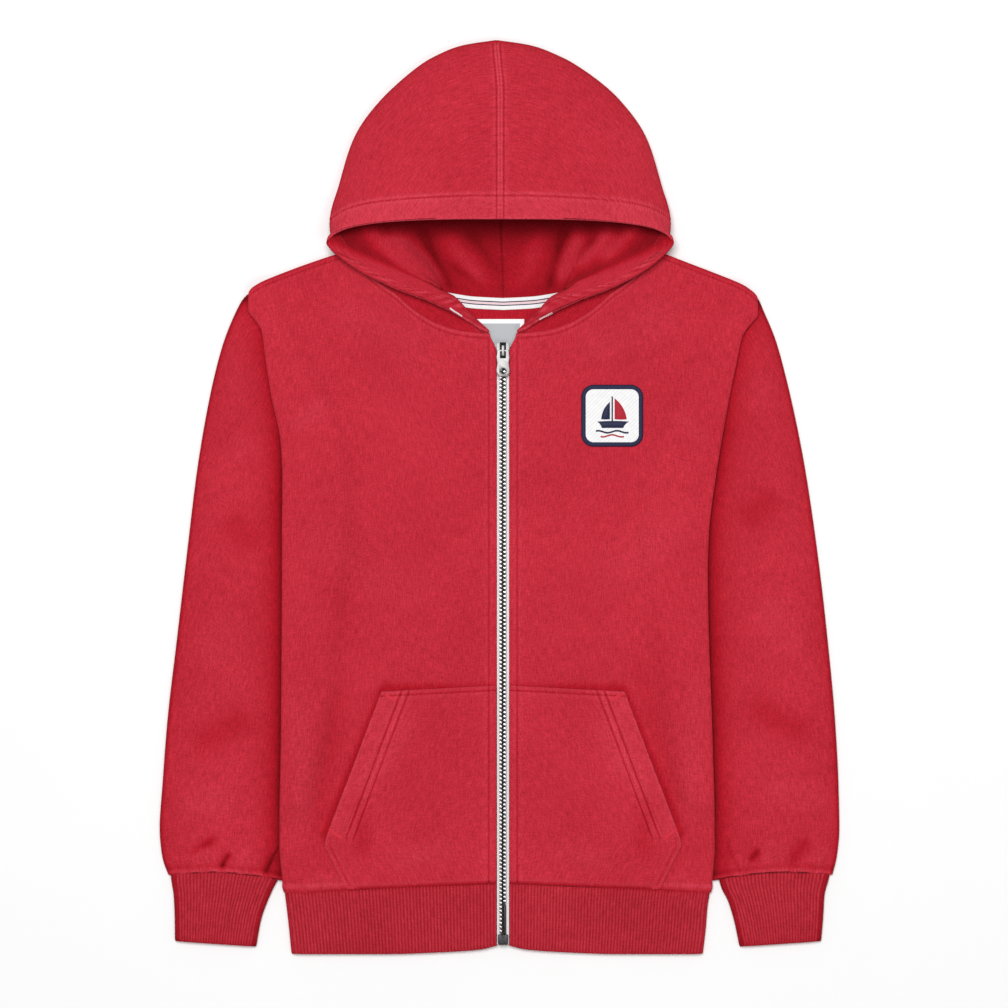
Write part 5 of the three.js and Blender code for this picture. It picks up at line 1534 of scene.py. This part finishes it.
def zip_slider():
    """The slider: a throat on the chain, a shield-shaped plate and an arched bridge over it."""
    y = SLIDER_Y
    throat = block("slider_body", (0, y, 7.1), (9.4, 12.6, 3.0))
    soften(throat, 0.5)
    plate = block("slider_plate", (0, y + 0.3, 9.35), (12.4, 13.8, 1.7))
    choose(plate, lambda p: p[1] < y - 6, "FACE")
    bpy.ops.transform.resize(value=(0.78, 1, 1), center_override=to_metres((0, y - 6.6, 9.35)))
    leave_edit()
    choose(plate, lambda p: abs(p[0]) > 4 and abs(p[2] - 9.35) < 0.1)
    bpy.ops.mesh.bevel(offset=2.6 * MM, segments=5)
    leave_edit()
    cut_away(plate, block("slider_groove", (0, y + 0.7, 10.25), (4.8, 14.0, 1.3)))
    soften(plate, 0.3)
    bridge = block("slider_bridge", (0, y, 12.98), (2.4, 8.8, 1.05))
    legs = [block(f"slider_leg_{k}", (0, y + at, 11.2), (2.4, 1.1, 3.6)) for k, at in enumerate((-3.85, 3.85))]
    for piece in (bridge, *legs):
        soften(piece, 0.35)
    join_pieces(throat, plate, bridge, *legs)
    return fit(throat, "garment", "zip_metal", "slider metal", "zip_slider")


def pull_tab():
    """The pull: a waisted tab with a slot round the bridge and a ringed eye near its end."""
    y, z = SLIDER_Y, 11.35
    tab = block("pull_tab_plate", (0, y - 10.75, z), (11.2, 22.9, 1.4))
    for at in (-6, -10.7, -16, -19.2):
        only(tab)
        bpy.ops.object.mode_set(mode="EDIT")
        bpy.ops.mesh.select_all(action="SELECT")
        bpy.ops.mesh.bisect(plane_co=to_metres((0, y + at, z)), plane_no=(0, 1, 0))
        leave_edit()
    for at, share in ((-10.7, 0.86), (-22.2, 0.5), (0.7, 0.86)):
        choose(tab, lambda p, at=at: abs(p[1] - y - at) < 0.2, "VERT")
        bpy.ops.transform.resize(value=(share, 1, 1), center_override=to_metres((0, y + at, z)))
        leave_edit()
    cut_away(tab, block("pull_slot", (0, y - 3.6, z), (4.6, 5.8, 4)))
    cut_away(tab, rod("pull_eye", (0, y - 17.6, z), 2.3, 4))
    soften(tab, 0.32, 3, 25)
    bpy.ops.object.select_all(action="DESELECT")
    bpy.ops.mesh.primitive_torus_add(
        major_radius=2.95 * MM, minor_radius=0.5 * MM, major_segments=40, minor_segments=10,
        location=to_metres((0, y - 17.6, z + 0.55)),
    )
    ring = bpy.context.active_object
    bpy.ops.object.transform_apply(location=True, rotation=True, scale=True)
    bpy.ops.object.shade_smooth()
    join_pieces(tab, ring)
    return fit(tab, "pull_tab", "zip_metal", "pull metal", "zip_pull")


# Patch details


def patch_border():
    """An overlocked edge: thread wrapped closely round the patch."""
    half, corner = PATCH["size"] / 2 - 1.5, PATCH["corner"] - 1.5
    straight = half - corner
    line = []
    for quarter in range(4):
        angle = np.linspace(0, np.pi / 2, 40) + quarter * np.pi / 2
        cx = straight * (1 if quarter in (0, 3) else -1)
        cy = straight * (1 if quarter in (0, 1) else -1)
        line += list(zip(cx + corner * np.cos(angle), cy + corner * np.sin(angle)))
    places, ways = along_line(line, 0.17, closed=True)
    ways = unit(ways)
    aside = np.stack([ways[:, 1], -ways[:, 0]], axis=1)
    wraps = 0.12 * np.abs(np.sin(np.arange(len(places)) * np.pi / 4))
    angles = np.linspace(0, 2 * np.pi, 11)[:-1]
    base = on_patch(places[:, 0], places[:, 1], -0.45)
    points = []
    for k in range(len(places)):
        wide, tall = 2.0 + wraps[k], 0.95 + wraps[k]
        for angle in angles:
            off = aside[k] * wide * math.cos(angle)
            points.append(base[k] + [off[0], off[1], tall * math.sin(angle)])
    n, m = len(places), len(angles)
    faces = [
        (k * m + a, k * m + (a + 1) % m, (k + 1) % n * m + (a + 1) % m, (k + 1) % n * m + a)
        for k in range(n)
        for a in range(m)
    ]
    piece = mesh_object("patch_border", to_metres(np.array(points)), faces)
    shape = bmesh.new()
    shape.from_mesh(piece.data)
    bmesh.ops.recalc_face_normals(shape, faces=shape.faces)
    shape.to_mesh(piece.data)
    shape.free()
    return piece


def raised_shape(name, outline, over, height=0.3):
    """A low embroidered shape on the patch."""
    outline = np.asarray(outline, float)
    top = on_patch(outline[:, 0], outline[:, 1], over + height)
    foot = on_patch(outline[:, 0], outline[:, 1], -0.2)
    middle = outline.mean(axis=0)
    inner = middle + (outline - middle) * 0.97
    crown = on_patch(inner[:, 0], inner[:, 1], over + height)
    n = len(outline)
    rim = top - [0, 0, height * 0.5]
    points = np.concatenate([foot, rim, crown])
    faces = [(k, (k + 1) % n, n + (k + 1) % n, n + k) for k in range(n)]
    faces += [(n + k, n + (k + 1) % n, 2 * n + (k + 1) % n, 2 * n + k) for k in range(n)]
    faces += [tuple(range(2 * n, 3 * n)), tuple(range(n))[::-1]]
    piece = mesh_object(name, to_metres(points), faces)
    shape = bmesh.new()
    shape.from_mesh(piece.data)
    bmesh.ops.triangulate(shape, faces=[f for f in shape.faces if len(f.verts) > 4])
    bmesh.ops.recalc_face_normals(shape, faces=shape.faces)
    shape.to_mesh(piece.data)
    shape.free()
    return piece


def curve_points(corners, bulge, count=10):
    """A closed outline whose sides bow out by shares of their length."""
    points = []
    for k, (a, b) in enumerate(zip(corners, corners[1:] + corners[:1])):
        a, b = np.array(a, float), np.array(b, float)
        out = np.array([(b - a)[1], -(b - a)[0]]) * bulge[k]
        for t in np.linspace(0, 1, count, endpoint=False):
            points.append(a + (b - a) * t + out * 4 * t * (1 - t))
    return points


def wave_band(y, width, reach, phase):
    x = np.linspace(-reach, reach, 60)
    ripple = 0.9 * np.sin(x / 2.6 + phase)
    return list(zip(x, y + ripple)) + list(zip(x[::-1], (y - width + ripple)[::-1]))


# Operators


class HoodieLooks(bpy.types.PropertyGroup):
    """Colours and sizes that a user may change before the pieces are built."""

    fleece: FloatVectorProperty(
        name="Fleece", description="Colour of the sweatshirt cloth", subtype="COLOR", size=3,
        default=(0.5, 0.021, 0.038), min=0, max=1,
    )
    rib: FloatVectorProperty(
        name="Rib knit", description="Colour of the cuffs and the hem", subtype="COLOR", size=3,
        default=(0.43, 0.019, 0.033), min=0, max=1,
    )
    thread: FloatVectorProperty(
        name="Thread", description="Colour of the sewing thread on the red cloth", subtype="COLOR", size=3,
        default=(0.44, 0.02, 0.036), min=0, max=1,
    )
    tape: FloatVectorProperty(
        name="White tape", description="Colour of the zip tapes, the patch and the bartacks", subtype="COLOR",
        size=3, default=(0.92, 0.91, 0.91), min=0, max=1,
    )
    navy: FloatVectorProperty(
        name="Navy", description="Colour of the patch's edge and the lines on the neck tape", subtype="COLOR",
        size=3, default=(0.018, 0.022, 0.06), min=0, max=1,
    )
    steel: FloatVectorProperty(
        name="Zip metal", description="Colour of the teeth and the slider", subtype="COLOR", size=3,
        default=(0.3, 0.297, 0.293), min=0, max=1,
    )
    gunmetal: FloatVectorProperty(
        name="Dark metal", description="Colour of the pin and box at the foot of the zip", subtype="COLOR",
        size=3, default=(0.05, 0.05, 0.054), min=0, max=1,
    )
    floor: FloatVectorProperty(
        name="Floor", description="Colour of the floor under the hoodie", subtype="COLOR", size=3,
        default=(0.93, 0.93, 0.93), min=0, max=1,
    )
    stitch: FloatProperty(
        name="Stitch length", description="Length of one stitch", default=0.0026, min=0.001, max=0.006,
        unit="LENGTH",
    )
    stitch_gap: FloatProperty(
        name="Stitch gap", description="Space between two stitches", default=0.0007, min=0.0002, max=0.004,
        unit="LENGTH",
    )
    thread_width: FloatProperty(
        name="Thread width", description="Width of one stitch", default=0.0006, min=0.0002, max=0.002,
        unit="LENGTH",
    )
    light: FloatProperty(
        name="Light", description="Strength of the soft light from above", default=90, min=0, max=500,
    )


class HOODIE_OT_fronts(bpy.types.Operator):
    """Builds the two fronts and the back"""

    bl_idname = "hoodie.fronts"
    bl_label = "Fronts and back"

    def execute(self, context):
        for side in (-1, 1):
            name = side_name(side)
            grid = front_grid(side)
            piece = sew(
                f"front_{name}_cloth", grid, "fleece", finish_of("red fleece"), [f"front_{name}"],
                rise=front_rise(grid), wear=front_wear(grid),
            )
        # The back's upper face, the garment's inside, is painted darker, as painted shade with deeper red.
        back = sew("back_cloth", back_grid(), "fleece", finish_of("red fleece"), ["back"], wear=-0.9, inner_wear=0.0)
        return {"FINISHED"}


class HOODIE_OT_sleeves(bpy.types.Operator):
    """Builds the two sleeves"""

    bl_idname = "hoodie.sleeves"
    bl_label = "Sleeves"

    def execute(self, context):
        for side in (-1, 1):
            name = side_name(side)
            grid, wear = sleeve_grid(side)
            piece = sew(
                f"sleeve_{name}_cloth", grid, "fleece", finish_of("red fleece"), [f"sleeve_{name}"],
                ring=True, wear=wear,
            )
        return {"FINISHED"}


class HOODIE_OT_ribs(bpy.types.Operator):
    """Builds the cuffs and the hem band in rib knit"""

    bl_idname = "hoodie.ribs"
    bl_label = "Cuffs and hem"

    def execute(self, context):
        for side in (-1, 1):
            name = side_name(side)
            grid, rise, wear = cuff_grid(side)
            piece = sew(
                f"cuff_{name}_rib", grid, "rib", finish_of("red rib knit"), [f"cuff_{name}"], thick=RIB, ring=True,
                rise=rise, **{**RIB_SHADING_AND_WEAR, "wear": wear},
            )
        grid, rise, wear = hem_grid()
        middle = grid.shape[1] // 2
        hem = sew(
            "hem_band", grid, "rib", finish_of("red rib knit"), ["hem_rib"], thick=RIB, rise=rise,
            upper=slice(0, middle // 3), **{**RIB_SHADING_AND_WEAR, "wear": wear},
        )
        return {"FINISHED"}


class HOODIE_OT_hood(bpy.types.Operator):
    """Builds the two halves of the hood and the stitches on them"""

    bl_idname = "hoodie.hood"
    bl_label = "Hood"

    def execute(self, context):
        lines = []
        for side in (-1, 1):
            name = side_name(side)
            grid, rise, band, wear, inner_wear = hood_grid(side)
            piece = sew(
                f"hood_{name}_cloth", grid, "fleece", finish_of("red fleece"), [f"hood_{name}"], rise=rise,
                upper=slice(0, 40), wear=wear, inner_wear=inner_wear,
            )
            lines.append(hood_rim_line(grid, band))
        looks = context.scene.hoodie_looks
        tree = surface("hood_right_cloth", "hood_left_cloth")
        y = np.linspace(634, 781, 30)
        lean = HOOD_LEAN * smooth_step(570, 612, y) + CROWN_LEAN * smooth_step(740, 788, y)
        lines += [list(zip(lean + off, y)) for off in (-2.9, 2.9)]
        sizes = [looks.stitch / MM, looks.stitch_gap / MM, looks.thread_width / MM]
        lay_stitches("hood_stitches", tree, lines, *sizes, 0.1, "fleece", finish_of("red thread"))
        bars = []
        for (ax, ay), (bx, by) in (((-45.2, 557.0), (-35.3, 550.4)), ((31.4, 547.6), (42, 553.2))):
            for t in np.linspace(0, 1, 24):
                x, y = mix(ax, bx, t), mix(ay, by, t)
                away = np.array([by - ay, ax - bx]) / math.hypot(bx - ax, by - ay) * 0.5
                bars.append([(x - away[0], y - away[1]), (x + away[0], y + away[1])])
        lay_stitches("hood_bartacks", tree, bars, 1.1, 0, 0.55, 0.05, "tape", finish_of("white thread"))
        return {"FINISHED"}


class HOODIE_OT_pockets(bpy.types.Operator):
    """Builds the kangaroo pockets"""

    bl_idname = "hoodie.pockets"
    bl_label = "Pockets"

    def execute(self, context):
        for side in (-1, 1):
            name = side_name(side)
            grid, rise, wear = pocket_grid(side)
            piece = sew(
                f"pocket_{name}_cloth", grid, "fleece", finish_of("red fleece"), [f"pocket_{name}"],
                rise=rise, wear=wear,
            )
        return {"FINISHED"}


class HOODIE_OT_tapes(bpy.types.Operator):
    """Builds the zip tapes, the neck tape and the bare neck label"""

    bl_idname = "hoodie.tapes"
    bl_label = "Tapes and label"

    def execute(self, context):
        for side in (-1, 1):
            name = side_name(side)
            piece = sew(
                f"zip_tape_{name}_woven", zip_tape_grid(side), "tape", finish_of("zip tape"),
                [f"zip_tape_{name}"], thick=TAPE,
            )
        tape = sew(
            "neck_tape_striped", neck_tape_grid(), "tape", finish_of("striped tape"), ["neck_tape"], thick=TAPE,
        )
        label = sew("neck_label_bare", label_grid(), "tape", finish_of("label tape"), ["neck_label"], thick=TAPE)
        return {"FINISHED"}


class HOODIE_OT_patch(bpy.types.Operator):
    """Builds the chest patch with its overlocked edge and a small sailing boat"""

    bl_idname = "hoodie.patch"
    bl_label = "Chest patch"

    def execute(self, context):
        ground = sew(
            "patch_ground", patch_grid(), "patch", finish_of("patch cloth"), ["chest_patch"], thick=PATCH["thick"],
        )
        hull = curve_points([(-13, -5), (-9, -10.5), (9.5, -10.5), (14.5, -5)], [-0.1, 0, -0.1, 0.02])
        mast = [(-0.6, -5.5), (0.6, -5.5), (0.6, 16.5), (-0.6, 16.5)]
        sail = curve_points([(2, -3), (12.5, -3), (2, 15)], [0.03, 0.1, 0])
        jib = curve_points([(-2, -3), (-2, 12), (-9.5, -3)], [0, 0.1, 0.03])
        pieces = [(patch_border(), "navy thread")]
        for name, outline, over, height, finish in (
            ("boat_hull", hull, 0.0, 0.3, "navy thread"),
            ("boat_mast", mast, 0.05, 0.3, "navy thread"),
            ("boat_sail", sail, 0.0, 0.3, "red thread"),
            ("boat_jib", jib, 0.0, 0.3, "navy thread"),
            ("boat_wave", wave_band(-13, 1.5, 14, 0), 0.0, 0.25, "navy thread"),
            ("boat_swell", wave_band(-16.6, 1.3, 10, 1.6), 0.0, 0.25, "red thread"),
        ):
            pieces.append((raised_shape(name, outline, over, height), finish))
        for piece, finish in pieces:
            piece.data.materials.append(finish_of(finish))
            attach(piece, "garment")
        return {"FINISHED"}


class HOODIE_OT_stitches(bpy.types.Operator):
    """Sews the rows of stitches on the fronts and the pockets"""

    bl_idname = "hoodie.stitches"
    bl_label = "Stitches"

    def execute(self, context):
        looks = context.scene.hoodie_looks
        sizes = [looks.stitch / MM, looks.stitch_gap / MM, looks.thread_width / MM]
        for side in (-1, 1):
            name = side_name(side)
            tree = surface(f"front_{name}_cloth", f"pocket_{name}_cloth")
            lines = [front_stitch_line(side), neck_stitch_line(side), shoulder_stitch_line(side), *pocket_lines(side)]
            lay_stitches(f"front_{name}_stitches", tree, lines, *sizes, 0.1, "fleece", finish_of("red thread"))
            bars = []
            for (ax, ay), (bx, by) in (((101, 226), (92, 221)), ((149, 111), (139, 103)), ((136, 61), (128, 60))):
                for t in np.linspace(0, 1, 26):
                    x, y = mix(ax, bx, t), mix(ay, by, t)
                    away = np.array([by - ay, ax - bx]) / math.hypot(bx - ax, by - ay)
                    bars.append(mirrored(side, [(x - away[0], y - away[1]), (x + away[0], y + away[1])]))
            # The pocket bartacks take the lighter red thread, a painted highlight.
            thread = finish_of("highlit red thread")
            lay_stitches(f"pocket_{name}_bartacks", tree, bars, 2.0, 0, 0.8, 0.0, "fleece", thread)
        return {"FINISHED"}


class HOODIE_OT_zip(bpy.types.Operator):
    """Builds the teeth, the pin and box, the slider and its pull"""

    bl_idname = "hoodie.zip"
    bl_label = "Zip"

    def execute(self, context):
        zip_teeth()
        zip_ends()
        zip_slider()
        pull_tab()
        return {"FINISHED"}


class HOODIE_OT_stage(bpy.types.Operator):
    """Sets the pale floor, the soft lights and the camera"""

    bl_idname = "hoodie.stage"
    bl_label = "Floor, lights and camera"

    def execute(self, context):
        scene = context.scene
        looks = scene.hoodie_looks
        bpy.ops.object.select_all(action="DESELECT")
        bpy.ops.mesh.primitive_grid_add(x_subdivisions=8, y_subdivisions=8, size=8, location=(0, 0, -0.0002))
        floor = context.active_object
        floor.name = floor.data.name = "stage_floor"
        bpy.ops.object.transform_apply(location=True, rotation=True, scale=True)
        floor.data.materials.append(finish_of("pale floor"))
        for name, place, size, power in (
            ("soft_light_above", (-0.25, 0.75, 3.3), 1.7, looks.light),
            ("soft_light_low", (0.9, -1.2, 2.6), 1.2, looks.light * 0.12),
        ):
            lamp = bpy.data.lights.new(name, "AREA")
            lamp.shape = "DISK"
            lamp.size = size
            lamp.energy = power
            holder = bpy.data.objects.new(name, lamp)
            holder.location = place
            holder.rotation_euler = (Vector((0, 0, 0)) - Vector(place)).to_track_quat("-Z", "Y").to_euler()
            scene.collection.objects.link(holder)
        world = bpy.data.worlds.new("studio")
        world.use_nodes = True
        world.node_tree.nodes["Background"].inputs["Color"].default_value = (1, 1, 1, 1)
        world.node_tree.nodes["Background"].inputs["Strength"].default_value = 0.3
        scene.world = world
        scene.view_settings.view_transform = "Standard"
        camera = bpy.data.cameras.new("camera")
        camera.lens = 36 * 3.0 / 0.8669
        camera.sensor_width = 36
        camera.clip_end = 20
        holder = bpy.data.objects.new("camera", camera)
        holder.location = (0.86 * MM + ORIGIN[0], 389.6 * MM + ORIGIN[1], 3.0)
        scene.collection.objects.link(holder)
        scene.camera = holder
        return {"FINISHED"}


class HOODIE_PT_pieces(bpy.types.Panel):
    """The hoodie's pieces, in the order in which they are built"""

    bl_label = "Hoodie"
    bl_space_type = "VIEW_3D"
    bl_region_type = "UI"
    bl_category = "Hoodie"

    def draw(self, context):
        for name in HoodieLooks.__annotations__:
            self.layout.prop(context.scene.hoodie_looks, name)
        for operator in OPERATORS:
            self.layout.operator(operator.bl_idname)


OPERATORS = (
    HOODIE_OT_stage, HOODIE_OT_fronts, HOODIE_OT_sleeves, HOODIE_OT_ribs, HOODIE_OT_hood, HOODIE_OT_pockets,
    HOODIE_OT_tapes, HOODIE_OT_patch, HOODIE_OT_stitches, HOODIE_OT_zip,
)
CLASSES = (HoodieLooks, *OPERATORS, HOODIE_PT_pieces)


def register():
    for each in CLASSES:
        bpy.utils.register_class(each)
    bpy.types.Scene.hoodie_looks = PointerProperty(type=HoodieLooks)


def unregister():
    del bpy.types.Scene.hoodie_looks
    for each in reversed(CLASSES):
        bpy.utils.unregister_class(each)


def main():
    register()
    for operator in OPERATORS:
        getattr(bpy.ops.hoodie, operator.bl_idname.split(".")[1])()


if __name__ == "__main__":
    main()
